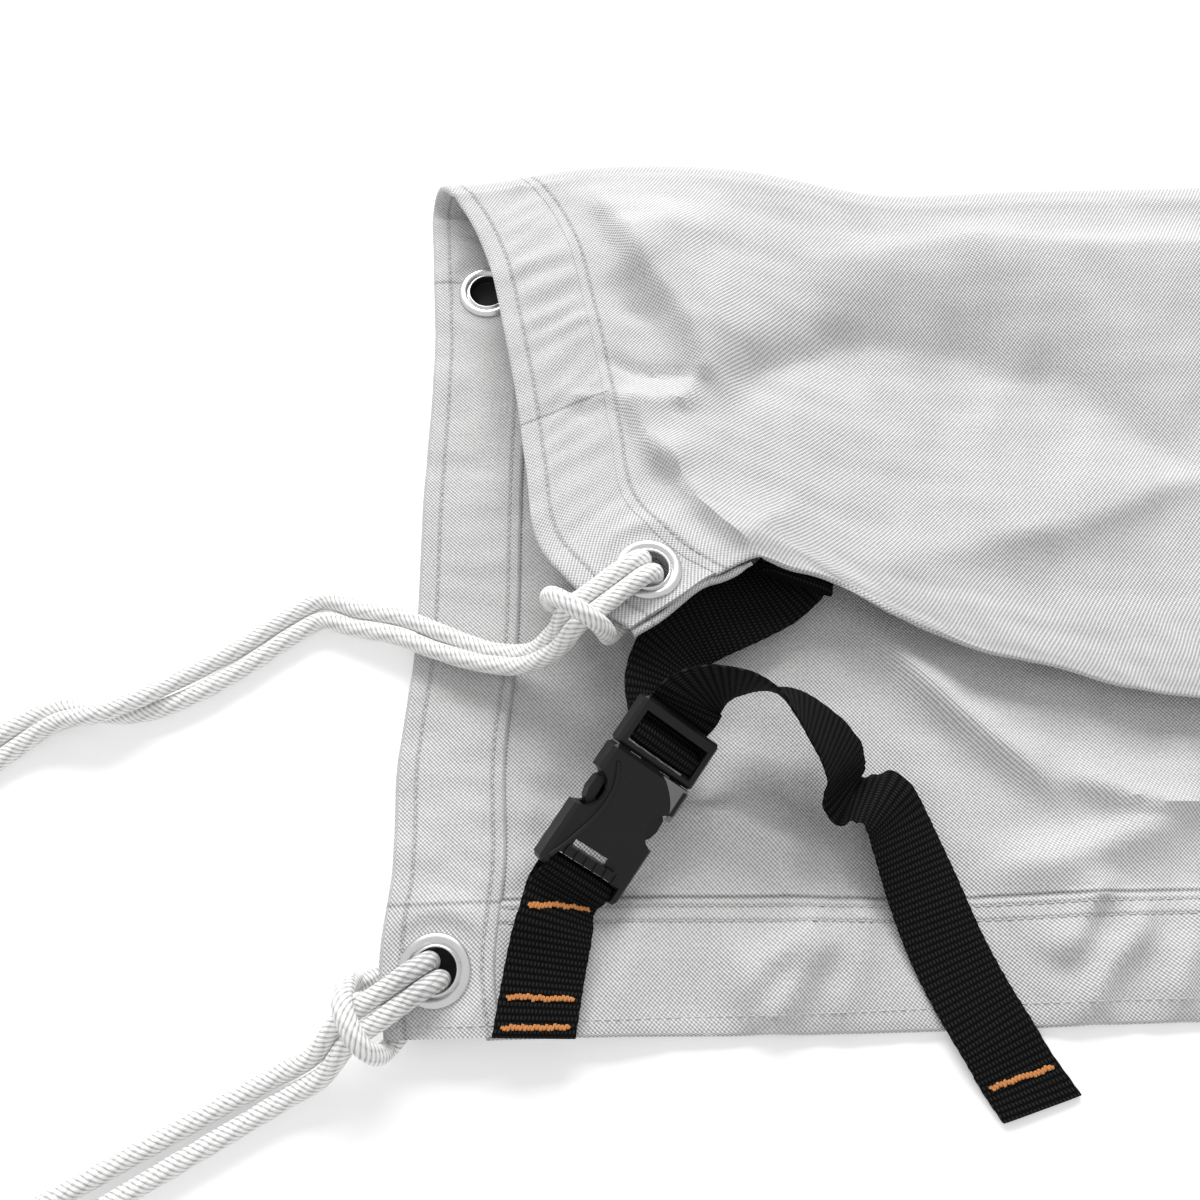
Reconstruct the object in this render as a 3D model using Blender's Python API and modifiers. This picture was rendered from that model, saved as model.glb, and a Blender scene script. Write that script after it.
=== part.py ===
"""One end of a canvas boom cover, folded lengthwise on a flat surface.

+X runs along the cover from its open end, +Y from the loose long edges towards
the fold, +Z up.  The origin lies on the flat underside of the ground panel.
Tables are in millimetres and are scaled by MM where they are read.
"""

import math
from collections import namedtuple

import bmesh
import bpy
import numpy as np
from mathutils import Matrix, Vector

MM = 0.001

# ---------------------------------------------------------------- driving dimensions
COVER_END_X = 0.935          # far end of the cover, finished with a plain hem
PLY = 0.0014                 # canvas as one sheet
HEM_PLY = 0.0022             # canvas where the long edges and the far end are turned
HEM_WIDTH = 0.040
STRIP_PLY = 0.0024           # doubled strip round the open end
STRIP_WIDTH = 0.035
GAP = 0.0003                 # between pieces that touch
JOIN_GAP = 0.0008            # between the strip and the panel, edge to edge

FOLD_RADIUS = 0.0085         # outer radius of the lengthwise fold
CORNER_LIFT = 0.0074         # the tie runs under the ground panel's corner
CORNER_FLAT = 0.024          # radius that is lifted fully
CORNER_REACH = 0.095         # radius where the lift has died out

EYELET_OUTER = 0.0206
EYELET_BORE = 0.0132
EYELET_METAL = 0.0006
EYELET_DOME = 0.0011         # how far the cloth rises over an eyelet's back flange

WEBBING_WIDTH = 0.0245
WEBBING_PLY = 0.0013
WEBBING_STRIPS = 2           # faces across the band
CORD_DIAMETER = 0.0060

BUCKLE_HALF_WIDTH = 0.0155
BUCKLE_HALF_THICKNESS = 0.0040
SOCKET_LENGTH = 0.042
PLUG_END = 0.0593
BUCKLE_PLACE = (-8.2, -96.3, 14.3)     # middle of the socket's webbing end, in mm
BUCKLE_YAW = math.radians(35.0)        # long axis, turned from +Y towards +X
BUCKLE_PITCH = math.radians(10.5)
BUCKLE_ROLL = math.radians(32.0)       # right-hand side down

# ---------------------------------------------------------------- the cover's outlines
FoldRow = namedtuple("FoldRow", "x outer_y")
FOLD_LINE = [
    FoldRow(-66, 168.0), FoldRow(-50, 168.5), FoldRow(-4, 176.5), FoldRow(54, 175.5),
    FoldRow(108, 163.5), FoldRow(160, 165.0), FoldRow(232, 167.0), FoldRow(330, 171.0),
    FoldRow(480, 167.0), FoldRow(640, 171.0), FoldRow(800, 168.0), FoldRow(935, 170.0),
]

HemRow = namedtuple("HemRow", "x y")
GROUND_HEM = [
    HemRow(-66, -143.5), HemRow(-7, -141.8), HemRow(60, -141.2), HemRow(105, -140.0),
    HemRow(182, -137.5), HemRow(330, -140.0), HemRow(520, -137.0), HemRow(720, -140.5),
    HemRow(935, -138.0),
]

EndRow = namedtuple("EndRow", "y x")
GROUND_END = [
    EndRow(-143.5, -64.0), EndRow(-125, -66.8), EndRow(-92, -65.0), EndRow(-60, -66.3),
    EndRow(-25, -63.5), EndRow(40, -63.1), EndRow(108, -62.6), EndRow(160, -66.5),
]

EdgeRow = namedtuple("EdgeRow", "x y z")
FLAP_END = [
    EdgeRow(-57.0, 160.0, 17.0), EdgeRow(-49.0, 145.5, 18.5), EdgeRow(-41.3, 125.5, 20.5),
    EdgeRow(-34.8, 96.5, 21.0), EdgeRow(-29.0, 65.0, 21.0), EdgeRow(-25.4, 39.5, 22.0),
    EdgeRow(-19.4, 8.6, 24.5), EdgeRow(-11.3, -2.0, 26.5), EdgeRow(0.0, -13.8, 28.0),
    EdgeRow(10.1, -21.2, 28.5),
]
FLAP_HEM = [
    EdgeRow(10.1, -21.2, 28.5), EdgeRow(25.8, -9.6, 27.0), EdgeRow(39.2, -0.4, 25.5),
    EdgeRow(51.0, 5.0, 24.0), EdgeRow(66.0, 2.8, 21.5), EdgeRow(79.4, -0.4, 19.5),
    EdgeRow(99.3, -11.1, 16.5), EdgeRow(125.1, -22.6, 14.5), EdgeRow(151.1, -28.5, 13.5),
    EdgeRow(173.2, -35.0, 12.5), EdgeRow(200.0, -38.8, 12.0), EdgeRow(270.0, -42.0, 12.5),
    EdgeRow(360.0, -37.0, 13.5), EdgeRow(480.0, -44.0, 12.0), EdgeRow(620.0, -36.0, 13.5),
    EdgeRow(780.0, -43.0, 12.0), EdgeRow(935.0, -39.0, 12.0),
]

# soft ridges (height above 0) and valleys (below 0) pressed into the sheet
Crease = namedtuple("Crease", "x0 y0 x1 y1 half_width height")
GROUND_CREASES = [
    Crease(96, -18, 145, -67, 6, 2.6),
    Crease(152, -65, 196, -73, 5, 2.2),
    Crease(128, -92, 186, -77, 7, 2.0),
    Crease(22, -74, 62, -86, 5, 2.2),
    Crease(40, -50, 56, -76, 8, 2.2),
    Crease(250, -60, 330, -100, 9, 2.6),
    Crease(400, -30, 470, -95, 10, 2.6),
    Crease(560, -95, 640, -60, 9, 2.4),
    Crease(720, -40, 800, -100, 10, 2.6),
]
FLAP_CREASES = [
    Crease(2, 164, 42, 82, 9, -4.5),
    Crease(8, 72, 45, 16, 6, -3.5),
    Crease(36, 112, 92, 98, 11, 3.0),
    Crease(70, 140, 232, 136, 17, 4.5),
    Crease(90, 97, 210, 62, 15, -4.5),
    Crease(146, 22, 226, 50, 15, 4.0),
    Crease(262, 128, 380, 60, 18, 4.0),
    Crease(330, 20, 450, 70, 16, -3.5),
    Crease(430, 130, 560, 90, 18, 3.5),
    Crease(560, 20, 660, 60, 16, 3.5),
    Crease(640, 130, 760, 70, 18, -3.5),
    Crease(800, 40, 890, 110, 18, 3.5),
]

# stations along the girth (from the ground panel's loose edge) and along the length
GROUND_ROWS = 27
FOLD_ROWS = 6
FLAP_ROWS = 20
NEAR_STEP = 0.0115
NEAR_END = 0.270
FAR_STEPS = 15
STRIP_COLUMNS = 6


# ---------------------------------------------------------------- curves and surfaces
def smooth_curve(knots, values, at):
    """Cubic Hermite curve through the rows, with chord slopes, for any array of places."""
    knots = np.asarray(knots, float)
    values = np.asarray(values, float)
    slopes = np.gradient(values, knots, axis=0)
    at = np.clip(np.asarray(at, float), knots[0], knots[-1])
    row = np.clip(np.searchsorted(knots, at, side="right") - 1, 0, len(knots) - 2)
    span = knots[row + 1] - knots[row]
    t = (at - knots[row]) / span
    if values.ndim == 2:
        t, span = t[..., None], span[..., None]
    return ((2 * t**3 - 3 * t**2 + 1) * values[row] + (t**3 - 2 * t**2 + t) * span * slopes[row]
            + (3 * t**2 - 2 * t**3) * values[row + 1] + (t**3 - t**2) * span * slopes[row + 1])


def ease(value, start, end):
    """0 before start, 1 after end, smooth between."""
    t = np.clip((value - start) / (end - start), 0.0, 1.0)
    return t * t * (3.0 - 2.0 * t)


def column(rows, name):
    return np.array([getattr(row, name) for row in rows]) * MM


def pressed(creases, x, y):
    """Height that the creases add at plan position x, y."""
    total = np.zeros(np.broadcast(x, y).shape)
    for crease in creases:
        start = np.array([crease.x0, crease.y0]) * MM
        along = np.array([crease.x1, crease.y1]) * MM - start
        length = np.linalg.norm(along)
        along = along / length
        t = ((x - start[0]) * along[0] + (y - start[1]) * along[1]) / length
        across = (x - start[0]) * along[1] - (y - start[1]) * along[0]
        fade = ease(t, -0.15, 0.25) * (1.0 - ease(t, 0.75, 1.15))
        width = crease.half_width * MM
        total += crease.height * MM * fade * np.exp(-(across / width) ** 2)
    return total


def corner_lift(x, y):
    distance = np.hypot(x - GROUND_END[0].x * MM, y - GROUND_END[0].y * MM)
    return CORNER_LIFT * (1.0 - ease(distance, CORNER_FLAT, CORNER_REACH))


def ground_height(x, y):
    """Underside of the ground panel."""
    return corner_lift(x, y) + pressed(GROUND_CREASES, x, y)


def fold_centre_y(x):
    return smooth_curve(column(FOLD_LINE, "x"), column(FOLD_LINE, "outer_y"), x) - FOLD_RADIUS


def stretched(end_x, u):
    """Plan x of a point u along the cover, from its open end at end_x to the far end."""
    length = COVER_END_X - GROUND_END[0].x * MM
    return end_x + u * (COVER_END_X - end_x) / length


COVER_LENGTH = COVER_END_X - GROUND_END[0].x * MM
GROUND_GIRTH = 0.3035
FOLD_GIRTH = math.pi * FOLD_RADIUS
FLAP_KNOTS = np.concatenate([[0.0], np.cumsum([
    math.dist(a, b) for a, b in zip(FLAP_END[:-1], FLAP_END[1:])])]) * MM
FLAP_GIRTH = FLAP_KNOTS[-1]
GIRTH = GROUND_GIRTH + FOLD_GIRTH + FLAP_GIRTH

Eyelet = namedtuple("Eyelet", "girth along")
EYELETS = {
    "eyelet_ground": Eyelet(0.0205, 0.0170),
    "eyelet_centre": Eyelet(0.2670, 0.0205),
    "eyelet_flap": Eyelet(GIRTH - 0.0160, 0.0195),
}
EYELET_FLAT = 0.0135         # the sheet is flat within this radius of an eyelet
EYELET_EASE = 0.0260


def ground_point(girth, u):
    g = girth / GROUND_GIRTH
    hem_y = GROUND_HEM[0].y * MM
    end_y = hem_y + g * (fold_centre_y(GROUND_END[0].x * MM) - hem_y)
    end_x = smooth_curve(column(GROUND_END, "y"), column(GROUND_END, "x"), end_y)
    x = stretched(end_x, u)
    hem = smooth_curve(column(GROUND_HEM, "x"), column(GROUND_HEM, "y"), x)
    y = hem + g * (fold_centre_y(x) - hem)
    return x, y, ground_height(x, y)


def fold_point(girth, u):
    angle = (girth - GROUND_GIRTH) / FOLD_RADIUS - math.pi / 2
    share = (girth - GROUND_GIRTH) / FOLD_GIRTH
    start, end = GROUND_END[-1].x * MM, FLAP_END[0].x * MM
    x = stretched(start + (end - start) * share**2, u)
    y = fold_centre_y(x) + FOLD_RADIUS * np.cos(angle)
    return x, y, FOLD_RADIUS * (1.0 + np.sin(angle))


def flap_point(girth, u):
    """The end edge's shape, carried along the fold line and the flap's hem."""
    a = girth - GROUND_GIRTH - FOLD_GIRTH
    share = ease(a, 0.0, FLAP_GIRTH) * 0.35 + 0.65 * a / FLAP_GIRTH
    end = [smooth_curve(FLAP_KNOTS, column(FLAP_END, name), a) for name in "xyz"]
    x = stretched(end[0], u)
    fold_shift = fold_centre_y(x) - fold_centre_y(end[0])
    along_hem = stretched(FLAP_HEM[0].x * MM, u)
    hem_x = column(FLAP_HEM, "x")
    hem_shift_y = smooth_curve(hem_x, column(FLAP_HEM, "y"), along_hem) - FLAP_HEM[0].y * MM
    hem_shift_z = smooth_curve(hem_x, column(FLAP_HEM, "z"), along_hem) - FLAP_HEM[0].z * MM
    settle = ease(u, 0.0, 0.12) * np.sin(math.pi * a / FLAP_GIRTH) * 0.003
    y = end[1] + fold_shift * (1.0 - share) + hem_shift_y * share
    z = end[2] + hem_shift_z * share - settle
    away = ease(a, 0.0, 0.030)
    return x, y, z + away * pressed(FLAP_CREASES, x, y)


def raw_point(girth, u):
    girth, u = np.broadcast_arrays(np.asarray(girth, float), np.asarray(u, float))
    on_ground = girth <= GROUND_GIRTH
    on_flap = girth >= GROUND_GIRTH + FOLD_GIRTH
    ground = ground_point(np.minimum(girth, GROUND_GIRTH), u)
    fold = fold_point(np.clip(girth, GROUND_GIRTH, GROUND_GIRTH + FOLD_GIRTH), u)
    flap = flap_point(np.maximum(girth, GROUND_GIRTH + FOLD_GIRTH), u)
    return np.stack([np.where(on_ground, g, np.where(on_flap, f, m))
                     for g, m, f in zip(ground, fold, flap)], axis=-1)


def raw_normal(girth, u, step=0.004):
    """Outward normal of the outer surface: down on the ground panel, up on the flap."""
    across = raw_point(girth + step, u) - raw_point(girth - step, u)
    along = raw_point(girth, u + step) - raw_point(girth, u - step)
    normal = np.cross(across, along)
    return normal / np.linalg.norm(normal, axis=-1, keepdims=True)


def eyelet_frame(name):
    """Middle of the outer surface at the eyelet, and the outward normal there."""
    eyelet = EYELETS[name]
    centre = raw_point(eyelet.girth, eyelet.along)
    if name == "eyelet_flap":
        return centre, raw_normal(eyelet.girth, eyelet.along, 0.008)
    if name == "eyelet_centre":
        centre[2] = EYELET_DOME
    return centre, np.array([0.0, 0.0, -1.0])


def outer_point(girth, u):
    """Outer surface of the cover, flattened round each eyelet."""
    point = raw_point(girth, u)
    for name in EYELETS:
        centre, normal = eyelet_frame(name)
        offset = point - centre
        off_plane = offset @ normal
        distance = np.linalg.norm(offset - off_plane[..., None] * normal, axis=-1)
        weight = 1.0 - ease(distance, EYELET_FLAT, EYELET_EASE)
        weight = np.where(np.abs(off_plane) < 0.006, weight, 0.0)
        point = point - (weight * off_plane)[..., None] * normal
    return point


# ---------------------------------------------------------------- Blender helpers
def clear_scene():
    for item in list(bpy.data.objects):
        bpy.data.objects.remove(item, do_unlink=True)


def new_collection(name):
    collection = bpy.data.collections.new(name)
    bpy.context.scene.collection.children.link(collection)
    return collection


def material(name, colour, roughness, metallic=0.0):
    made = bpy.data.materials.new(name)
    made.use_nodes = True
    shader = made.node_tree.nodes["Principled BSDF"]
    shader.inputs["Base Color"].default_value = (*colour, 1.0)
    shader.inputs["Roughness"].default_value = roughness
    shader.inputs["Metallic"].default_value = metallic
    return made


def add_object(name, data, collection, made_of=None):
    item = bpy.data.objects.new(name, data)
    collection.objects.link(item)
    if made_of:
        data.materials.append(made_of)
    return item


def mesh_from(name, points, faces):
    mesh = bpy.data.meshes.new(name)
    mesh.from_pydata([tuple(point) for point in points], [], faces)
    mesh.validate()
    return mesh


def shade(mesh, angle=math.radians(40)):
    mesh.shade_smooth()
    mesh.set_sharp_from_angle(angle=angle)


def box(name, low, high, collection):
    """Axis-aligned box between two corners, in the object's own axes."""
    mesh = bpy.data.meshes.new(name)
    bm = bmesh.new()
    bmesh.ops.create_cube(bm, size=1.0)
    size = Vector(high) - Vector(low)
    middle = (Vector(high) + Vector(low)) / 2
    bmesh.ops.transform(bm, matrix=Matrix.Translation(middle) @ Matrix.Diagonal((*size, 1.0)), verts=bm.verts)
    bm.to_mesh(mesh)
    bm.free()
    return add_object(name, mesh, collection)


def cylinder(name, radius, depth, segments, collection):
    mesh = bpy.data.meshes.new(name)
    bm = bmesh.new()
    bmesh.ops.create_cone(bm, cap_ends=True, segments=segments, radius1=radius, radius2=radius, depth=depth)
    bm.to_mesh(mesh)
    bm.free()
    return add_object(name, mesh, collection)


def combine(item, other, operation):
    """Boolean modifier; the other object becomes a hidden guide."""
    modifier = item.modifiers.new(other.name, "BOOLEAN")
    modifier.operation = operation
    modifier.object = other
    other.hide_render = True
    other.display_type = "WIRE"


def outline(name, points, half_thickness, collection):
    """Flat outline in the X-Y plane, extruded both ways, as a mesh object."""
    curve = bpy.data.curves.new(name, "CURVE")
    curve.dimensions = "2D"
    curve.fill_mode = "BOTH"
    curve.extrude = half_thickness
    curve.render_resolution_u = 0
    spline = curve.splines.new("POLY")
    spline.points.add(len(points) - 1)
    for target, (x, y) in zip(spline.points, points):
        target.co = (x, y, 0.0, 1.0)
    spline.use_cyclic_u = True
    item = add_object(name + "_outline", curve, collection)
    depsgraph = bpy.context.evaluated_depsgraph_get()
    mesh = bpy.data.meshes.new_from_object(item.evaluated_get(depsgraph))
    bpy.data.objects.remove(item, do_unlink=True)
    bm = bmesh.new()
    bm.from_mesh(mesh)
    bmesh.ops.remove_doubles(bm, verts=bm.verts, dist=1e-6)
    bm.to_mesh(mesh)
    bm.free()
    return add_object(name, mesh, collection)


# ---------------------------------------------------------------- canvas
def girth_rows():
    """Stations round the girth, with a pair at each hem's inner edge."""
    ground = np.linspace(HEM_WIDTH + 0.0015, GROUND_GIRTH, GROUND_ROWS - 4)
    hem = np.linspace(0.0, HEM_WIDTH, 4)
    fold = GROUND_GIRTH + FOLD_GIRTH * np.linspace(0.0, 1.0, FOLD_ROWS + 1)[1:]
    flap_start = GROUND_GIRTH + FOLD_GIRTH
    flap = np.linspace(flap_start, GIRTH - HEM_WIDTH - 0.0015, FLAP_ROWS - 3)[1:]
    flap_hem = np.linspace(GIRTH - HEM_WIDTH, GIRTH, 4)
    return np.concatenate([hem, ground, fold, flap, flap_hem])


def sheet(name, rows, columns, collection, made_of):
    """Open grid on the cover's outer surface."""
    girth, u = np.meshgrid(rows, columns, indexing="ij")
    points = outer_point(girth, u).reshape(-1, 3)
    wide = len(columns)
    faces = [(r * wide + c, (r + 1) * wide + c, (r + 1) * wide + c + 1, r * wide + c + 1)
             for r in range(len(rows) - 1) for c in range(wide - 1)]
    mesh = mesh_from(name, points, faces)
    shade(mesh)
    return add_object(name, mesh, collection, made_of), girth.ravel(), u.ravel()


def build_cover_cloth(collection, canvas):
    """One folded sheet; its hems are thicker by their turned plies."""
    near = np.arange(STRIP_WIDTH + JOIN_GAP, NEAR_END, NEAR_STEP)
    far_start = near[-1] + NEAR_STEP
    far_hem = COVER_LENGTH - HEM_WIDTH
    far = np.linspace(far_start, far_hem - 0.0015, FAR_STEPS)
    columns = np.concatenate([near, far, [far_hem, COVER_LENGTH]])
    cloth, girth, u = sheet("cover_cloth", girth_rows(), columns, collection, canvas)
    hemmed = (girth <= HEM_WIDTH) | (girth >= GIRTH - HEM_WIDTH) | (u >= far_hem)
    plies = cloth.vertex_groups.new(name="plies")
    plies.add([int(i) for i in np.flatnonzero(hemmed)], 1.0, "REPLACE")
    plies.add([int(i) for i in np.flatnonzero(~hemmed)], PLY / HEM_PLY, "REPLACE")
    thicken(cloth, HEM_PLY, "plies")
    return cloth


def thicken(item, thickness, group=""):
    """Solidify inwards from the outer surface."""
    modifier = item.modifiers.new("plies", "SOLIDIFY")
    modifier.thickness = thickness
    modifier.offset = -1.0
    modifier.vertex_group = group
    modifier.use_even_offset = True


def build_end_strip(collection, cutters, canvas):
    """Doubled strip round the open end, with three holes for the eyelets."""
    columns = np.linspace(0.0, STRIP_WIDTH, STRIP_COLUMNS + 1)
    strip, _, _ = sheet("end_strip", girth_rows(), columns, collection, canvas)
    thicken(strip, STRIP_PLY)
    for name in EYELETS:
        centre, normal = eyelet_frame(name)
        hole = cylinder(name + "_hole", EYELET_BORE / 2 + EYELET_METAL + GAP, 0.010, 20, cutters)
        hole.matrix_world = placed(centre, normal)
        combine(strip, hole, "DIFFERENCE")
    return strip


def placed(centre, normal):
    """Matrix whose Z is the normal and whose origin is the centre."""
    turn = Vector(normal).to_track_quat("Z", "Y").to_matrix().to_4x4()
    return Matrix.Translation(Vector(centre)) @ turn


def build_eyelet(name, collection, metal):
    """Two flanges joined by a barrel, turned from one profile; Z points out of the cover."""
    barrel = EYELET_BORE / 2
    rim = EYELET_OUTER / 2
    inside = -STRIP_PLY - GAP
    profile = [
        (rim, GAP + EYELET_METAL), (rim, GAP),
        (barrel + EYELET_METAL, GAP), (barrel + EYELET_METAL, inside),
        (rim, inside), (rim, inside - EYELET_METAL),
        (barrel, inside - EYELET_METAL), (barrel, EYELET_METAL + GAP),
    ]
    edges = [(i, (i + 1) % len(profile)) for i in range(len(profile))]
    mesh = bpy.data.meshes.new(name)
    mesh.from_pydata([(r, 0.0, z) for r, z in profile], edges, [])
    item = add_object(name, mesh, collection, metal)
    screw = item.modifiers.new("turn", "SCREW")
    screw.steps = screw.render_steps = 28
    screw.use_merge_vertices = True
    screw.merge_threshold = 0.00001
    centre, normal = eyelet_frame(name)
    item.matrix_world = placed(centre, normal)
    return item


# ---------------------------------------------------------------- webbing
Station = namedtuple("Station", "x y z wx wy wz")
Ladder = namedtuple("Ladder", "along height")

# the short strap: under ply from the hem up to the socket, listed hem first; z is the
# height over the ground panel's upper face
STUB_ROUTE = [
    Station(-19.6, -141.6, 0.0, 0.99, -0.14, 0.0),
    Station(-18.0, -131.5, 0.2, 0.98, -0.17, 0.0),
    Station(-16.1, -120.5, 1.6, 0.96, -0.24, -0.08),
    Station(-13.8, -110.0, 4.6, 0.91, -0.33, -0.25),
]
STUB_LOOP = [
    Ladder(-4.6, -2.2), Ladder(0.2, -2.5), Ladder(2.6, -2.3), Ladder(4.0, -1.2), Ladder(4.3, 0.0),
    Ladder(4.0, 1.2), Ladder(2.6, 2.3), Ladder(0.2, 2.5), Ladder(-4.6, 0.3),
]

# the long strap: from its sewn end at the flap's hem, back under the flap in a loop,
# then along the hem and down to the plug
LONG_START = [
    Station(66.4, 1.8, 16.6, 0.94, -0.33, -0.14),
    Station(67.6, 6.2, 14.8, 0.93, -0.36, -0.12),
    Station(68.0, 7.6, 12.2, 0.88, -0.46, -0.08),
    Station(65.8, 5.0, 10.0, 0.84, -0.54, -0.04),
    Station(62.4, 1.8, 9.2, 0.79, -0.61, -0.04),
    Station(58.4, -1.4, 9.0, 0.71, -0.70, -0.04),
    Station(53.6, -4.2, 9.6, 0.62, -0.78, -0.06),
    Station(48.4, -7.0, 10.6, 0.54, -0.83, -0.10),
    Station(43.0, -9.8, 12.0, 0.50, -0.85, -0.18),
    Station(36.4, -13.2, 13.4, 0.53, -0.80, -0.30),
    Station(27.8, -19.0, 15.0, 0.70, -0.58, -0.42),
    Station(21.2, -27.4, 16.4, 0.86, -0.28, -0.43),
    Station(18.8, -36.2, 17.6, 0.89, -0.09, -0.45),
    Station(19.4, -44.6, 18.6, 0.87, -0.06, -0.49),
    Station(19.6, -50.0, 19.1, 0.82, -0.22, -0.53),
]
LONG_LADDER = [
    Ladder(50.2, -4.6), Ladder(48.4, -3.6),
    Ladder(46.2, -1.9), Ladder(45.9, 0.4), Ladder(47.0, 2.3), Ladder(49.0, 2.9),
    Ladder(51.2, 2.2), Ladder(52.5, 0.4), Ladder(53.4, -1.4), Ladder(55.4, -2.4),
    Ladder(58.5, -2.5), Ladder(61.5, -1.7),
]
# the free tail: arch, half twist, bend, trough, second bend, then flat to its tip
LONG_TAIL = [
    Station(29.6, -42.2, 28.0, 0.66, -0.34, -0.67),
    Station(34.8, -40.0, 30.4, 0.54, -0.25, -0.80),
    Station(40.4, -39.0, 31.4, 0.40, -0.12, -0.91),
    Station(46.6, -39.2, 31.6, 0.31, -0.02, -0.95),
    Station(54.0, -41.0, 31.0, 0.18, 0.22, -0.96),
    Station(59.4, -43.8, 29.8, 0.25, 0.44, -0.86),
    Station(64.4, -47.4, 28.0, 0.33, 0.55, -0.77),
    Station(69.0, -51.8, 25.8, 0.41, 0.60, -0.69),
    Station(73.2, -56.4, 23.0, 0.52, 0.57, -0.63),
    Station(76.0, -60.8, 19.4, 0.60, 0.47, -0.65),
    Station(77.0, -64.4, 15.0, 0.65, 0.42, -0.63),
    Station(78.0, -67.8, 11.2, 0.71, 0.42, -0.55),
    Station(80.4, -70.4, 9.4, 0.74, 0.50, -0.44),
    Station(83.8, -70.8, 11.0, 0.69, 0.63, -0.34),
    Station(87.2, -71.2, 13.2, 0.68, 0.65, -0.32),
    Station(90.6, -73.8, 12.8, 0.72, 0.60, -0.33),
    Station(93.4, -78.0, 10.4, 0.78, 0.52, -0.32),
    Station(96.2, -85.0, 8.4, 0.83, 0.47, -0.26),
    Station(101.4, -99.6, 5.4, 0.86, 0.49, -0.08),
    Station(107.6, -117.0, 3.7, 0.88, 0.47, 0.0),
    Station(115.2, -133.6, 3.6, 0.90, 0.43, 0.0),
    Station(120.0, -142.4, 3.3, 0.90, 0.44, 0.0),
    Station(124.8, -150.8, 1.7, 0.88, 0.48, 0.0),
    Station(131.6, -161.4, 1.0, 0.86, 0.50, 0.0),
]
TIP_SKEW = 0.27              # the tail's tip is folded a little out of square
TIP_SKEW_LENGTH = 0.030


def buckle_axes():
    """Across, along and out-of-face directions of the tilted buckle."""
    along = Vector((math.sin(BUCKLE_YAW) * math.cos(BUCKLE_PITCH),
                    math.cos(BUCKLE_YAW) * math.cos(BUCKLE_PITCH), math.sin(BUCKLE_PITCH)))
    level = Vector((math.cos(BUCKLE_YAW), -math.sin(BUCKLE_YAW), 0.0))
    face = level.cross(along)
    across = level * math.cos(BUCKLE_ROLL) - face * math.sin(BUCKLE_ROLL)
    return across, along, across.cross(along)


def buckle_matrix():
    axes = buckle_axes()
    turn = Matrix(axes).transposed().to_4x4()
    return Matrix.Translation(Vector(BUCKLE_PLACE) * MM) @ turn


def ladder_stations(rows):
    """Stations of webbing that runs through the buckle's bars."""
    across, along, face = buckle_axes()
    stations = []
    for row in rows:
        place = Vector(BUCKLE_PLACE) + along * row.along + face * row.height
        stations.append(Station(*place, *across))
    return stations


def webbing(name, stations, per_span, collection, made_of, tip_skew=0.0):
    """Flat band lofted through the stations, capped at both ends."""
    table = np.array(stations)
    centres, across = table[:, :3] * MM, table[:, 3:]
    knots = np.concatenate([[0.0], np.cumsum(np.linalg.norm(np.diff(centres, axis=0), axis=1))])
    at = np.concatenate([np.linspace(a, b, per_span, endpoint=False)
                         for a, b in zip(knots[:-1], knots[1:])] + [[knots[-1]]])
    path = smooth_curve(knots, centres, at)
    side = smooth_curve(knots, across, at)
    forward = np.gradient(path, axis=0)
    forward /= np.linalg.norm(forward, axis=1, keepdims=True)
    side -= (side * forward).sum(axis=1, keepdims=True) * forward
    side /= np.linalg.norm(side, axis=1, keepdims=True)
    face = np.cross(forward, side)
    skew = tip_skew * ease(at, knots[-1] - TIP_SKEW_LENGTH, knots[-1])
    wide = (side + forward * skew[:, None]) * WEBBING_WIDTH / 2
    thick = face * WEBBING_PLY / 2
    across = np.linspace(-1.0, 1.0, WEBBING_STRIPS + 1)
    rings = np.stack([path + wide * k - thick for k in across] + [path + wide * k + thick for k in across[::-1]], axis=1)
    count = rings.shape[1]
    faces = [(count * i + k, count * i + (k + 1) % count, count * (i + 1) + (k + 1) % count, count * (i + 1) + k)
             for i in range(len(at) - 1) for k in range(count)]
    last = count * (len(at) - 1)
    faces += [tuple(range(count))[::-1], tuple(range(last, last + count))]
    mesh = mesh_from(name, rings.reshape(-1, 3), faces)
    shade(mesh)
    return add_object(name, mesh, collection, made_of)


def build_strap_stub(collection, black):
    """Two plies sewn to the hem, joined by the loop round the socket's end bar."""
    under, over = [], []
    for i, row in enumerate(STUB_ROUTE):
        edges = [ground_height((row.x + k * row.wx) * MM, (row.y + k * row.wy) * MM) / MM for k in (-12, 12)]
        base = sum(edges) / 2 + row.z + (STRIP_PLY + GAP + WEBBING_PLY / 2) / MM
        tilt = row.wz + (edges[1] - edges[0]) / 24
        under.append(row._replace(z=base, wz=tilt))
        over.append(row._replace(z=base + (WEBBING_PLY + GAP) * (1.0 + 0.3 * i) / MM, wz=tilt))
    stations = under + ladder_stations(STUB_LOOP) + over[::-1]
    return webbing("strap_stub", stations, 2, collection, black)


def build_strap_long(collection, black):
    stations = LONG_START + ladder_stations(LONG_LADDER) + LONG_TAIL
    return webbing("strap_long", stations, 2, collection, black, TIP_SKEW)


# ---------------------------------------------------------------- buckle
END_BAR = (0.0008, 0.0026)
RIBBED_BAR = (0.0056, 0.0086)
SOCKET_SLOT = (0.0086, 0.0112)
WEBBING_ROOM = WEBBING_WIDTH / 2 + 0.0005
WINDOW_RADIUS = 0.0063
WINDOW_ALONG = 0.0265
PRONG_HALF_THICKNESS = 0.0019


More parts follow.
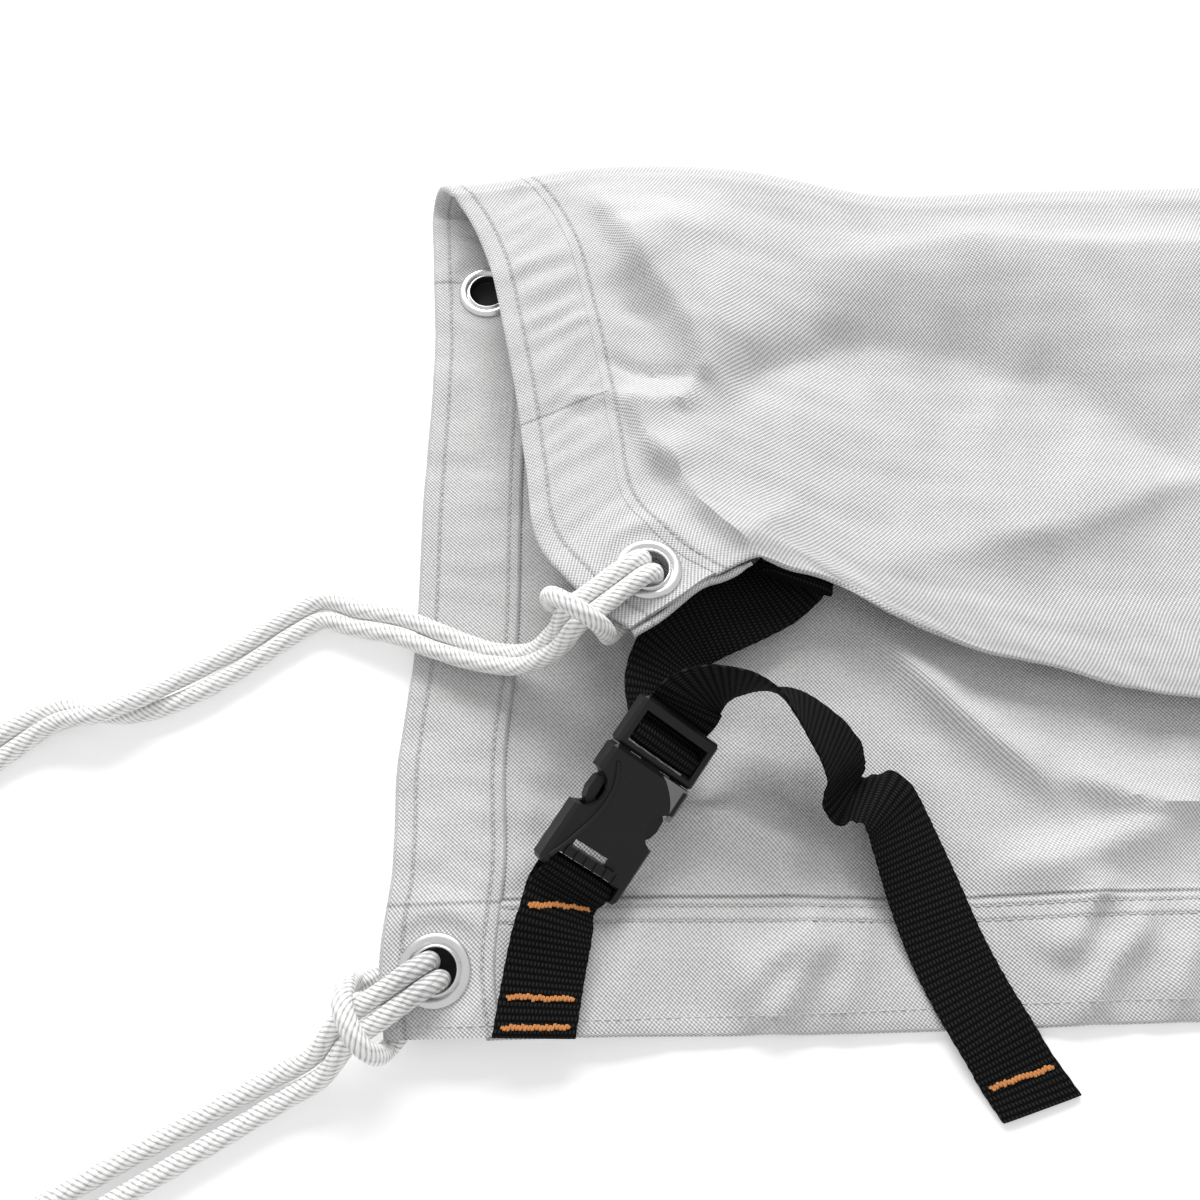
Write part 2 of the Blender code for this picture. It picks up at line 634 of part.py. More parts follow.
def build_buckle_socket(collection, cutters, plastic):
    """Hollow half with side windows, a slot and the bar that holds the short strap."""
    w, t = BUCKLE_HALF_WIDTH, BUCKLE_HALF_THICKNESS
    socket = box("buckle_socket", (-w, 0.0, -t), (w, SOCKET_LENGTH, t), collection)
    socket.data.materials.append(plastic)
    bevel = socket.modifiers.new("edges", "BEVEL")
    bevel.width = 0.0012
    bevel.segments = 1
    room = WEBBING_ROOM
    cuts = [
        box("mouth", (-0.0127, 0.0150, -0.0022), (0.0127, SOCKET_LENGTH + 0.001, 0.0022), cutters),
        box("webbing_slot", (-room, END_BAR[1], -0.010), (room, RIBBED_BAR[0], 0.010), cutters),
        box("webbing_end", (-room, -0.001, -0.010), (room, END_BAR[0], 0.010), cutters),
        box("bar_top", (-room, -0.0005, 0.0012), (room, END_BAR[1] + 0.0005, 0.010), cutters),
        box("bar_back", (-room, -0.0005, -0.010), (room, END_BAR[1] + 0.0005, -0.0012), cutters),
        box("open_slot", (-0.0088, SOCKET_SLOT[0], -0.010), (0.0080, SOCKET_SLOT[1], 0.010), cutters),
    ]
    for side in (-1, 1):
        window = cylinder("window_%+d" % side, WINDOW_RADIUS, 0.020, 20, cutters)
        window.location = (side * w, WINDOW_ALONG, 0.0)
        cuts.append(window)
    place = buckle_matrix()
    for cut in cuts:
        combine(socket, cut, "DIFFERENCE")
        cut.matrix_world = place @ Matrix.Translation(cut.location)
    socket.matrix_world = place
    return socket


def build_buckle_plug(collection, cutters, plastic):
    """Two-slot ladder for the long strap, with a guide and two sprung prongs."""
    w = BUCKLE_HALF_WIDTH
    frame_start = SOCKET_LENGTH + GAP
    plug = box("buckle_plug", (-w, frame_start, -0.0032), (w, PLUG_END, 0.0032), collection)
    plug.data.materials.append(plastic)
    bevel = plug.modifiers.new("edges", "BEVEL")
    bevel.width = 0.0010
    bevel.segments = 1
    room = WEBBING_ROOM
    cuts = [
        box("inner_slot", (-room, 0.0446, -0.010), (room, 0.0476, 0.010), cutters),
        box("outer_slot", (-room, 0.0504, -0.010), (room, 0.0554, 0.010), cutters),
        box("middle_top", (-room, 0.0470, 0.0012), (room, 0.0510, 0.010), cutters),
        box("middle_back", (-room, 0.0470, -0.010), (room, 0.0510, -0.0015), cutters),
        box("end_back", (-room, 0.0550, -0.010), (room, PLUG_END + 0.001, -0.0012), cutters),
    ]
    half = [
        (0.0030, 0.0435), (0.0030, 0.0285), (0.0022, 0.0270), (0.0, 0.0265),
    ]
    guide = half + [(-x, y) for x, y in half[-2::-1]]
    arms = [outline("guide", [(x, y) for x, y in guide], PRONG_HALF_THICKNESS, cutters)]
    for side in (-1, 1):
        arm = [
            (0.0090, 0.0435), (0.0118, 0.0435), (0.0118, 0.0330), (0.0124, 0.0314), (0.0138, 0.0300),
            (0.0140, 0.0260), (0.0132, 0.0232), (0.0112, 0.0210), (0.0094, 0.0206), (0.0090, 0.0224),
            (0.0104, 0.0250), (0.0106, 0.0290), (0.0092, 0.0330),
        ]
        arms.append(outline("prong_%+d" % side, [(side * x, y) for x, y in arm], PRONG_HALF_THICKNESS, cutters))
    place = buckle_matrix()
    for cut in cuts:
        combine(plug, cut, "DIFFERENCE")
        cut.matrix_world = place
    for arm in arms:
        combine(plug, arm, "UNION")
        arm.matrix_world = place
    plug.matrix_world = place
    return plug


# ---------------------------------------------------------------- ties
# a hitch in the eyelet's own plane: out = towards the free ends, side = half of the
# pair's spacing or the loop's half width, height = above the cover's upper face
Hitch = namedtuple("Hitch", "out side height")
# the free pair: its middle line, half the spacing, and its turn about that line in degrees
Pair = namedtuple("Pair", "x y z half_gap turn")

TIE_LOOP = [
    Hitch(31.5, 0.8, 12.0), Hitch(31.5, 2.8, 11.8), Hitch(31.0, 6.6, 10.2), Hitch(29.8, 9.8, 6.0),
    Hitch(28.8, 11.2, 1.0), Hitch(27.4, 10.9, -3.8), Hitch(22.8, 9.4, -6.4), Hitch(16.0, 6.8, -6.7),
    Hitch(9.0, 4.4, -6.7), Hitch(3.4, 3.3, -6.5), Hitch(0.6, 3.2, -4.2), Hitch(0.0, 3.2, 0.0),
    Hitch(0.6, 3.2, 3.4), Hitch(4.6, 3.2, 5.6), Hitch(12.0, 3.2, 5.2), Hitch(22.0, 3.3, 3.8),
    Hitch(29.6, 3.3, 3.0),
]
LOOP_ROWS = 9                # rows of TIE_LOOP that belong to the slanted loop
PAIR_ROW = 14                # from this row the pair is turned about its middle line
HitchAim = namedtuple("HitchAim", "out_x out_y lean narrow turn")
HITCH_AIM = {
    "eyelet_ground": HitchAim(-0.83, -0.56, 0.10, 1.0, 0.0),
    "eyelet_flap": HitchAim(-0.79, -0.61, -0.36, 0.90, 6.0),
}
GROUND_PAIR = [
    Pair(-83.6, -149.4, 7.0, 3.3, 0), Pair(-94.0, -155.0, 4.2, 3.5, 0), Pair(-106.0, -161.6, 3.4, 3.8, 0),
    Pair(-119.0, -168.8, 3.3, 4.0, 0), Pair(-133.0, -176.6, 3.3, 4.2, 0), Pair(-147.0, -184.4, 3.3, 4.4, 0),
    Pair(-161.0, -192.0, 3.3, 4.6, 0),
]
FLAP_PAIR = [
    Pair(-15.0, -22.6, 21.6, 3.4, 20), Pair(-24.0, -25.4, 13.4, 3.4, 35), Pair(-37.0, -23.6, 9.0, 3.3, 30),
    Pair(-53.5, -18.0, 7.6, 3.3, 10), Pair(-68.5, -12.0, 6.6, 3.3, 0), Pair(-83.0, -8.6, 4.4, 3.3, 0),
    Pair(-95.5, -5.4, 3.7, 3.6, 0), Pair(-105.5, -10.8, 3.6, 3.4, 0), Pair(-119.5, -21.0, 3.6, 3.4, -4),
    Pair(-138.0, -32.6, 4.6, 3.4, -18), Pair(-152.0, -39.6, 6.0, 3.3, -60), Pair(-163.5, -42.4, 6.7, 3.3, -100),
    Pair(-179.0, -42.6, 5.2, 3.3, -150), Pair(-194.0, -50.6, 3.6, 3.4, -180), Pair(-208.0, -62.6, 3.6, 3.5, -180),
]


def hitch_points(eyelet, side_sign):
    """World points of half a hitch; the loop closes over the pair outside the corner."""
    centre, normal = eyelet_frame(eyelet)
    up = Vector(normal) if normal[2] > 0 else -Vector(normal)
    face = Vector(centre)
    if normal[2] < 0:
        face = face + up * STRIP_PLY
    aim = HITCH_AIM[eyelet]
    out = Vector((aim.out_x, aim.out_y, 0.0))
    out = (out - up * out.dot(up)).normalized()
    side = up.cross(out)
    points = []
    for i, row in enumerate(TIE_LOOP):
        slant, across, rise = 0.0, side_sign * row.side, 0.0
        if i < LOOP_ROWS:
            across *= aim.narrow
            slant = aim.lean * across
        elif i >= PAIR_ROW:
            turn = math.radians(aim.turn) * (i - PAIR_ROW + 1) / (len(TIE_LOOP) - PAIR_ROW)
            across, rise = across * math.cos(turn), across * math.sin(turn)
        points.append(face + (out * (row.out + slant) + side * across + up * (row.height + rise)) * MM)
    return points


def pair_points(rows, side_sign):
    """One cord of the free pair, carried round the pair's middle line."""
    middle = [Vector((row.x, row.y, row.z)) for row in rows]
    points = []
    for i, row in enumerate(rows):
        forward = (middle[min(i + 1, len(rows) - 1)] - middle[max(i - 1, 0)]).normalized()
        level = Vector((0.0, 0.0, 1.0)).cross(forward).normalized()
        turn = math.radians(row.turn)
        offset = (level * math.cos(turn) + forward.cross(level) * math.sin(turn)) * row.half_gap * side_sign
        points.append((middle[i] + offset) * MM)
    return points


def cord(name, points, collection, made_of):
    """Round cord through the points, read from a smooth curve."""
    table = np.array(points)
    knots = np.concatenate([[0.0], np.cumsum(np.linalg.norm(np.diff(table, axis=0), axis=1))])
    at = [0.0]
    while at[-1] < knots[-1] - 0.002:
        knotted = at[-1] < knots[len(TIE_LOOP) - 1]
        at.append(min(knots[-1], at[-1] + (0.0045 if knotted else 0.0115)))
    route = smooth_curve(knots, table, np.array(at))
    curve = bpy.data.curves.new(name, "CURVE")
    curve.dimensions = "3D"
    curve.bevel_depth = CORD_DIAMETER / 2
    curve.bevel_resolution = 2
    curve.render_resolution_u = 0
    curve.use_fill_caps = True
    spline = curve.splines.new("POLY")
    spline.points.add(len(route) - 1)
    for target, place in zip(spline.points, route):
        target.co = (*place, 1.0)
    return add_object(name, curve, collection, made_of)


def build_ties(collection, white):
    for eyelet, rows, name in (("eyelet_ground", GROUND_PAIR, "tie_ground"), ("eyelet_flap", FLAP_PAIR, "tie_flap")):
        for side_sign, letter in ((-1, "a"), (1, "b")):
            points = hitch_points(eyelet, side_sign) + pair_points(rows, side_sign)
            cord(name + "_" + letter, points, collection, white)


# ---------------------------------------------------------------- assembly
def main():
    clear_scene()
    parts = new_collection("boom_cover")
    cutters = new_collection("cutters")
    canvas = material("canvas", (0.72, 0.72, 0.72), 0.85)
    strip_canvas = material("strip_canvas", (0.70, 0.70, 0.70), 0.85)
    metal = material("eyelet_metal", (0.80, 0.80, 0.82), 0.25, 1.0)
    black = material("webbing", (0.015, 0.015, 0.016), 0.75)
    plastic = material("buckle_plastic", (0.022, 0.022, 0.023), 0.42)
    white = material("cord", (0.82, 0.82, 0.81), 0.70)
    build_cover_cloth(parts, canvas)
    build_end_strip(parts, cutters, strip_canvas)
    for name in EYELETS:
        build_eyelet(name, parts, metal)
    build_strap_stub(parts, black)
    build_buckle_socket(parts, cutters, plastic)
    build_buckle_plug(parts, cutters, plastic)
    build_strap_long(parts, black)
    build_ties(parts, white)


main()
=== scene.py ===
import math
import bmesh
import bpy
import numpy as np
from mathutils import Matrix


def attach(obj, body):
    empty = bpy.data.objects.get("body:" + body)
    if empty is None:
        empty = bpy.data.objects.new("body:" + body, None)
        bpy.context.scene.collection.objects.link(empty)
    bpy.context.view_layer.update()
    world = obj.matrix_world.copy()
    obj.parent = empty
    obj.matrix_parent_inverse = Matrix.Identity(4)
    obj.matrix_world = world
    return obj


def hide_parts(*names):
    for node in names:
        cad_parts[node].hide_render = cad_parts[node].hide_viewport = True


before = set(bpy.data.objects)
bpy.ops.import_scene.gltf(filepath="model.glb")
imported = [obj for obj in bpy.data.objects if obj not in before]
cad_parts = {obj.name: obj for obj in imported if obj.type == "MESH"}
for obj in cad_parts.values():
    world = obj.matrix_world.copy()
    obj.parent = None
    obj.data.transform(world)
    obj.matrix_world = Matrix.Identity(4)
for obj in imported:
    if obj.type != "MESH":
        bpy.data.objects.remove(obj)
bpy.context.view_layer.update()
mm = 0.001


# curves

def smoothCurve(knots, values, at):  # cubic Hermite with chord slopes through (knots, values)
    knots = np.asarray(knots, float)
    values = np.asarray(values, float)
    slopes = np.gradient(values, knots, axis=0)
    at = np.clip(np.asarray(at, float), knots[0], knots[-1])
    row = np.clip(np.searchsorted(knots, at, side="right") - 1, 0, len(knots) - 2)
    span = knots[row + 1] - knots[row]
    t = (at - knots[row]) / span
    if values.ndim == 2:
        t, span = t[..., None], span[..., None]
    return ((2 * t**3 - 3 * t**2 + 1) * values[row] + (t**3 - 2 * t**2 + t) * span * slopes[row]
            + (3 * t**2 - 2 * t**3) * values[row + 1] + (t**3 - t**2) * span * slopes[row + 1])


def ease(value, start, end):  # 3t^2 - 2t^3 between start and end
    t = np.clip((value - start) / (end - start), 0.0, 1.0)
    return t * t * (3.0 - 2.0 * t)


def window(value, start, end, soft):  # 1 between start and end, 0 beyond a soft margin
    return ease(value, start - soft, start + soft) * (1.0 - ease(value, end - soft, end + soft))


def unit(vectors):  # v / |v|
    return vectors / np.linalg.norm(vectors, axis=-1, keepdims=True)


def travelled(points):  # distance gone from the first point to each
    return np.concatenate([[0.0], np.cumsum(np.linalg.norm(np.diff(points, axis=0), axis=1))])


def waves(seed, a, b, shortest, longest, count=14):  # sum of random sines in (a, b), about -1 to 1
    dice = np.random.default_rng(seed)
    total = np.zeros(np.broadcast(a, b).shape)
    for turn, length, phase in zip(dice.uniform(0, np.pi, count), dice.uniform(shortest, longest, count),
                                   dice.uniform(0, 2 * np.pi, count)):
        total += np.sin(2 * np.pi * (a * np.cos(turn) + b * np.sin(turn)) / length + phase)
    return total / math.sqrt(count)


# the cover's shape, tables in mm

cover = {
    "endX": 0.935, "ply": 0.0011, "hemPly": 0.0021, "hemWidth": 0.040, "stripPly": 0.0024, "stripWidth": 0.0354,
    "outerSeam": 0.0067, "groundSeam": 0.0312, "flapSeam": 0.0338, "hemSeams": (0.0330, 0.0375),
    "foldRadius": 0.0085, "cornerLift": 0.0074, "cornerFlat": 0.024, "cornerReach": 0.095,
    "groundGirth": 0.3035, "lowestFlap": 0.0065, "lowestSoft": 0.002, "easedShare": 0.35,
    "settle": 0.003, "settleLength": 0.12, "foldsFrom": 0.030,
    "fold": [  # x y
        (-66, 168.0), (-50, 168.5), (-4, 176.5), (54, 175.5), (108, 163.5), (160, 165.0), (232, 167.0),
        (330, 171.0), (480, 167.0), (640, 171.0), (800, 168.0), (935, 170.0)],
    "groundHem": [  # x y
        (-66, -143.5), (-7, -141.8), (60, -141.2), (105, -140.0), (182, -137.5), (330, -140.0), (520, -137.0),
        (720, -140.5), (935, -138.0)],
    "groundEnd": [  # y x
        (-143.5, -64.0), (-125, -66.8), (-92, -65.0), (-60, -66.3), (-25, -63.5), (40, -63.1), (108, -62.6),
        (160, -66.5)],
    "flapEnd": [  # x y z
        (-57.0, 160.0, 17.0), (-49.0, 145.5, 18.5), (-41.3, 125.5, 20.5), (-34.8, 96.5, 21.0), (-29.0, 65.0, 21.0),
        (-25.4, 39.5, 22.0), (-19.4, 8.6, 24.5), (-11.3, -2.0, 26.5), (0.0, -13.8, 28.0), (10.1, -21.2, 28.5)],
    "flapHem": [  # x y z
        (10.1, -21.2, 28.5), (25.8, -9.6, 27.0), (39.2, -0.4, 25.5), (51.0, 5.0, 24.0), (66.0, 2.8, 21.5),
        (79.4, -0.4, 19.5), (99.3, -11.1, 16.5), (125.1, -22.6, 14.5), (151.1, -28.5, 13.5), (173.2, -35.0, 12.5),
        (200.0, -38.8, 12.0), (270.0, -42.0, 12.5), (360.0, -37.0, 13.5), (480.0, -44.0, 12.0), (620.0, -36.0, 13.5),
        (780.0, -43.0, 12.0), (935.0, -39.0, 12.0)],
    "groundCreases": [  # x0 y0 x1 y1 halfWidth height
        (96, -18, 145, -67, 6, 1.6), (152, -65, 196, -73, 5, 1.2), (128, -92, 186, -77, 7, 1.2),
        (22, -74, 62, -86, 5, 1.2), (40, -50, 56, -76, 8, 2.2), (250, -60, 330, -100, 9, 2.6),
        (400, -30, 470, -95, 10, 2.6), (560, -95, 640, -60, 9, 2.4), (720, -40, 800, -100, 10, 2.6)],
    "groundFolds": [  # x0 y0 x1 y1 leftWidth rightWidth height
        (96, -18, 146, -68, 11, 4, 4.8), (152, -65, 200, -74, 10, 4, 4.6), (128, -92, 186, -77, 4.5, 10, 4.2),
        (24, -71, 66, -85, 10, 4, 4.6), (34, -78, 62, -98, 9, 4.5, 2.6), (-24, -70, -27, -98, 3, 4, 1.6),
        (69, -104, 43, -130, 4.2, 8, 4.8), (72, -112, 47, -141, 4.6, 7, 5.0), (86, -100, 72, -138, 5, 9, 2.6),
        (160, -96, 140, -118, 4.2, 8, 4.4), (170, -104, 146, -136, 4.6, 7, 4.6), (188, -100, 176, -134, 5, 9, 3.6),
        (216, -98, 202, -130, 5, 9, 3.4), (12, -104, 4, -134, 5, 8, 1.8)],
    "flapFolds": [  # the same
        (-4, 166, 14, 124, 20, 6, 6.5), (10, 134, 41, 78, 22, 5, 8.5), (20, 156, 50, 84, 18, 9, 3.6),
        (6, 68, 24, 40, 16, 2.5, 5.2), (20, 47, 50, 6, 15, 2.8, 6.4),
        (50, 80, 90, 98, 8, 12, -6.0), (84, 126, 150, 136, 11, 30, 5.6), (140, 136, 236, 130, 11, 30, 7.2),
        (86, 98, 140, 84, 16, 24, -7.0), (124, 86, 174, 78, 16, 22, -7.2), (162, 80, 214, 46, 16, 18, -7.2),
        (96, 8, 150, 20, 26, 10, 3.6), (140, 16, 214, 42, 28, 8, 7.4), (2, 84, 36, 77, 2.5, 3.5, -3.2),
        (8, 67, 30, 66, 3.5, 3.5, 3.0), (28, 66, 38, 82, 3.5, 2.5, 3.0), (50, 10, 68, 34, 5, 4, 1.6),
        (2, 118, 20, 96, 5, 4, -2.0), (-6, 150, 6, 128, 5, 4, -1.6), (-14, 96, 4, 104, 4, 4, 1.2),
        (-12, 66, 6, 72, 3, 3, 1.8), (-10, 61, 8, 66, 3, 3, -1.2),
        (262, 128, 380, 60, 20, 14, 5.0), (330, 20, 450, 70, 14, 18, -4.0), (430, 130, 560, 90, 20, 14, 4.0),
        (560, 20, 660, 60, 18, 12, 4.0), (640, 130, 760, 70, 14, 20, -4.0), (800, 40, 890, 110, 18, 14, 4.0)],
}
fold, groundHem, groundEnd = (np.array(cover[name]) * mm for name in ("fold", "groundHem", "groundEnd"))
flapEnd, flapHem = (np.array(cover[name]) * mm for name in ("flapEnd", "flapHem"))
coverLength = cover["endX"] - groundEnd[0, 1]
groundGirth = cover["groundGirth"]
foldGirth = math.pi * cover["foldRadius"]
flapStart = groundGirth + foldGirth
flapKnots = travelled(flapEnd)
flapGirth = flapKnots[-1]
girthAll = flapStart + flapGirth
outerSeam, groundSeam, flapSeam = (cover[name] for name in ("outerSeam", "groundSeam", "flapSeam"))


crease = {
    "pressedEnds": (0.15, 0.25), "foldedEnds": (0.20, 0.22),  # shares of the length, past an end and inside it
    "bow": 0.0012, "bowTurn": 7.0, "round": 0.005, "power": 1.3,
}


def alongLine(x, y, x0, y0, x1, y1):  # share of the way along a line given in mm, and distance to its right
    start = np.array([x0, y0]) * mm
    along = np.array([x1, y1]) * mm - start
    length = np.linalg.norm(along)
    along = along / length
    share = ((x - start[0]) * along[0] + (y - start[1]) * along[1]) / length
    return share, (x - start[0]) * along[1] - (y - start[1]) * along[0]


def endFade(share, reach, soft):  # 1 in the middle of a line, 0 a little past both its ends
    return ease(share, -reach, soft) * (1.0 - ease(share, 1.0 - soft, 1.0 + reach))


def pressed(creases, x, y):  # sum of height * exp(-(across / width)^2), faded at both ends
    total = np.zeros(np.broadcast(x, y).shape)
    for *line, halfWidth, height in creases:
        share, across = alongLine(x, y, *line)
        fade = endFade(share, *crease["pressedEnds"])
        total += height * mm * fade * np.exp(-(across / (halfWidth * mm)) ** 2)
    return total


def folded(folds, x, y):  # sum of height * exp(-|across / width|^power), each side with its own width
    total = np.zeros(np.broadcast(x, y).shape)
    for *line, leftWidth, rightWidth, height in folds:
        share, across = alongLine(x, y, *line)
        bowed = across + crease["bow"] * np.sin(share * crease["bowTurn"] + line[0])
        width = np.where(bowed > 0, rightWidth, leftWidth) * mm
        slope = np.exp(-np.sqrt((bowed / width) ** 2 + crease["round"]) ** crease["power"])
        total += height * mm * endFade(share, *crease["foldedEnds"]) * slope
    return total


def groundHeight(x, y):  # corner lift + creases
    distance = np.hypot(x - groundEnd[0, 1], y - groundEnd[0, 0])
    lift = cover["cornerLift"] * (1.0 - ease(distance, cover["cornerFlat"], cover["cornerReach"]))
    return lift + pressed(cover["groundCreases"], x, y)


def foldCentreY(x):  # fold line's outer edge - radius
    return smoothCurve(fold[:, 0], fold[:, 1], x) - cover["foldRadius"]


def stretched(endX, u):  # endX + u * (far end - endX) / length
    return endX + u * (cover["endX"] - endX) / coverLength


def groundPoint(girth, u):  # rows between the hem and the fold line
    g = girth / groundGirth
    endY = groundHem[0, 1] + g * (foldCentreY(groundEnd[0, 1]) - groundHem[0, 1])
    x = stretched(smoothCurve(groundEnd[:, 0], groundEnd[:, 1], endY), u)
    hem = smoothCurve(groundHem[:, 0], groundHem[:, 1], x)
    y = hem + g * (foldCentreY(x) - hem)
    return x, y, groundHeight(x, y)


def foldPoint(girth, u):  # half turn of the fold radius
    angle = (girth - groundGirth) / cover["foldRadius"] - math.pi / 2
    share = (girth - groundGirth) / foldGirth
    start, end = groundEnd[-1, 1], flapEnd[0, 0]
    x = stretched(start + (end - start) * share**2, u)
    return x, foldCentreY(x) + cover["foldRadius"] * np.cos(angle), cover["foldRadius"] * (1.0 + np.sin(angle))


def flapPoint(girth, u):  # end edge's shape carried between the fold line and the flap's hem
    a = girth - flapStart
    share = ease(a, 0.0, flapGirth) * cover["easedShare"] + (1.0 - cover["easedShare"]) * a / flapGirth
    endX, endY, endZ = (smoothCurve(flapKnots, flapEnd[:, k], a) for k in range(3))
    x = stretched(endX, u)
    foldShift = foldCentreY(x) - foldCentreY(endX)
    alongHem = stretched(flapHem[0, 0], u)
    hemShiftY = smoothCurve(flapHem[:, 0], flapHem[:, 1], alongHem) - flapHem[0, 1]
    hemShiftZ = smoothCurve(flapHem[:, 0], flapHem[:, 2], alongHem) - flapHem[0, 2]
    settle = ease(u, 0.0, cover["settleLength"]) * np.sin(math.pi * a / flapGirth) * cover["settle"]
    y = endY + foldShift * (1.0 - share) + hemShiftY * share
    folds = ease(a, 0.0, cover["foldsFrom"]) * folded(cover["flapFolds"], x, y)
    over = endZ + hemShiftZ * share - settle + folds - cover["lowestFlap"]
    return x, y, cover["lowestFlap"] + 0.5 * (over + np.sqrt(over**2 + cover["lowestSoft"] ** 2))


def rawPoint(girth, u):  # ground, fold or flap by girth
    girth, u = np.broadcast_arrays(np.asarray(girth, float), np.asarray(u, float))
    ground = groundPoint(np.minimum(girth, groundGirth), u)
    turn = foldPoint(np.clip(girth, groundGirth, flapStart), u)
    flap = flapPoint(np.maximum(girth, flapStart), u)
    return np.stack([np.where(girth <= groundGirth, g, np.where(girth >= flapStart, f, m))
                     for g, m, f in zip(ground, turn, flap)], axis=-1)


def normalOf(surface, girth, u, step=0.003):  # cross product of central differences
    across = surface(girth + step, u) - surface(girth - step, u)
    along = surface(girth, u + step) - surface(girth, u - step)
    return unit(np.cross(across, along))


eyelets = {  # girth, along
    "eyelet_ground": (0.0205, 0.0170), "eyelet_centre": (0.2670, 0.0205), "eyelet_flap": (girthAll - 0.0160, 0.0195),
}
seat = {
    "normalStep": 0.008, "centreHeight": 0.0011, "offPlane": 0.006,
    "flat": (0.0135, 0.0260), "smooth": (0.0125, 0.0180),  # distances where each starts and stops fading
}


def eyeletSeat(name):  # centre of an eyelet on the cloth's outer face, and that face's normal
    girth, along = eyelets[name]
    centre, normal = rawPoint(girth, along), np.array([0.0, 0.0, -1.0])
    if name == "eyelet_flap":
        normal = normalOf(rawPoint, np.array(girth), np.array(along), seat["normalStep"])
    if name == "eyelet_centre":
        centre[2] = seat["centreHeight"]
    return centre, normal


eyeletPlaces = {name: eyeletSeat(name) for name in eyelets}


def eyeletWeight(point, name, flat, reach):  # 1 on the eyelet's flat, 0 beyond its reach
    centre, normal = eyeletPlaces[name]
    offset = point - centre
    offPlane = offset @ normal
    distance = np.linalg.norm(offset - offPlane[..., None] * normal, axis=-1)
    return np.where(np.abs(offPlane) < seat["offPlane"], 1.0 - ease(distance, flat, reach), 0.0), offPlane


def flattened(girth, u):  # raw surface pulled into each eyelet's plane
    point = rawPoint(girth, u)
    for name, (centre, normal) in eyeletPlaces.items():
        weight, offPlane = eyeletWeight(point, name, *seat["flat"])
        point = point - (weight * offPlane)[..., None] * normal
    return point


rumple = {
    "soft": (0.0012, 0.030, 0.085), "fine": (0.00042, 0.010, 0.026),  # height, shortest and longest wave
    "patch": (0.050, 0.110), "slant": (0.004, 0.03, 0.07), "tilt": (0.0030, 0.025, 0.06),
    "hem": (0.0019, 0.0165), "strip": (0.0018, 0.0105), "beside": (0.0018, 0.019),  # height and wavelength
}


def ripple(kind, place):  # sine between 0 and the kind's height
    height, wavelength = rumple[kind]
    return height * (0.5 + 0.5 * np.sin(2 * np.pi * place / wavelength))


def rumpled(girth, u):  # rise of the small wrinkles above the smooth sheet
    soft = rumple["soft"][0] * (0.5 + 0.5 * np.tanh(waves(3, girth, u, *rumple["soft"][1:])))
    fine = rumple["fine"][0] * np.tanh(waves(5, girth, u, *rumple["fine"][1:]))
    patch = np.clip(waves(8, girth * 0.3, u, *rumple["patch"]), 0.0, 1.0)
    slant = u + 0.55 * girth + rumple["slant"][0] * waves(9, girth, u, *rumple["slant"][1:])
    tilt = girth + 0.30 * u + rumple["tilt"][0] * waves(12, girth, u, *rumple["tilt"][1:])
    onHem = window(girth, 0.006, 0.036, 0.006) * ease(u, 0.045, 0.075)
    onStrip = window(u, 0.008, 0.030, 0.004) * (0.25 + 0.75 * ease(girth, flapStart + 0.03, flapStart + 0.05))
    hem = onHem * patch * ripple("hem", slant)
    strip = onStrip * ripple("strip", tilt) * (0.3 + 0.7 * patch)
    beside = window(u, 0.040, 0.060, 0.012) * ripple("beside", tilt) * patch
    return soft + fine + hem + strip + beside + rumple["fine"][0]


press = {
    "lines": [  # in mm, where a strap or cord lies on the cloth
        (86, -68, 132, -162), (-10, -104, -20, -143), (-10, -26, -76, -10), (-60, -136, -84, -150)],
    "flat": 0.012, "reach": 0.022, "left": 0.12, "foldShare": 1.35, "foldStart": (0.036, 0.050), "foldEdge": 0.006,
}


def coverSurface(girth, u):  # flattened surface + rumple along the upward side, calmer under straps and cords
    point = flattened(girth, u)
    sharp = np.abs(folded(cover["groundFolds"], point[..., 0], point[..., 1])) * (girth < groundGirth)
    sharp = sharp * ease(u, *press["foldStart"]) * ease(girth, 0.0, press["foldEdge"])
    rise = rumpled(girth, u) + press["foldShare"] * sharp
    for x0, y0, x1, y1 in press["lines"]:
        start, along = np.array([x0, y0]) * mm, np.array([x1 - x0, y1 - y0]) * mm
        t = np.clip(((point[..., :2] - start) @ along) / along.dot(along), 0.0, 1.0)
        distance = np.linalg.norm(point[..., :2] - start - t[..., None] * along, axis=-1)
        calm = press["left"] + (1.0 - press["left"]) * ease(distance, press["flat"], press["reach"])
        rise = rise * np.where(girth < groundGirth, calm, 1.0)
    for name in eyeletPlaces:
        rise = rise * (1.0 - eyeletWeight(point, name, *seat["smooth"])[0])
    point[..., 2] += np.where((girth < groundGirth) | (girth > flapStart), rise, 0.0)
    return point


# meshes

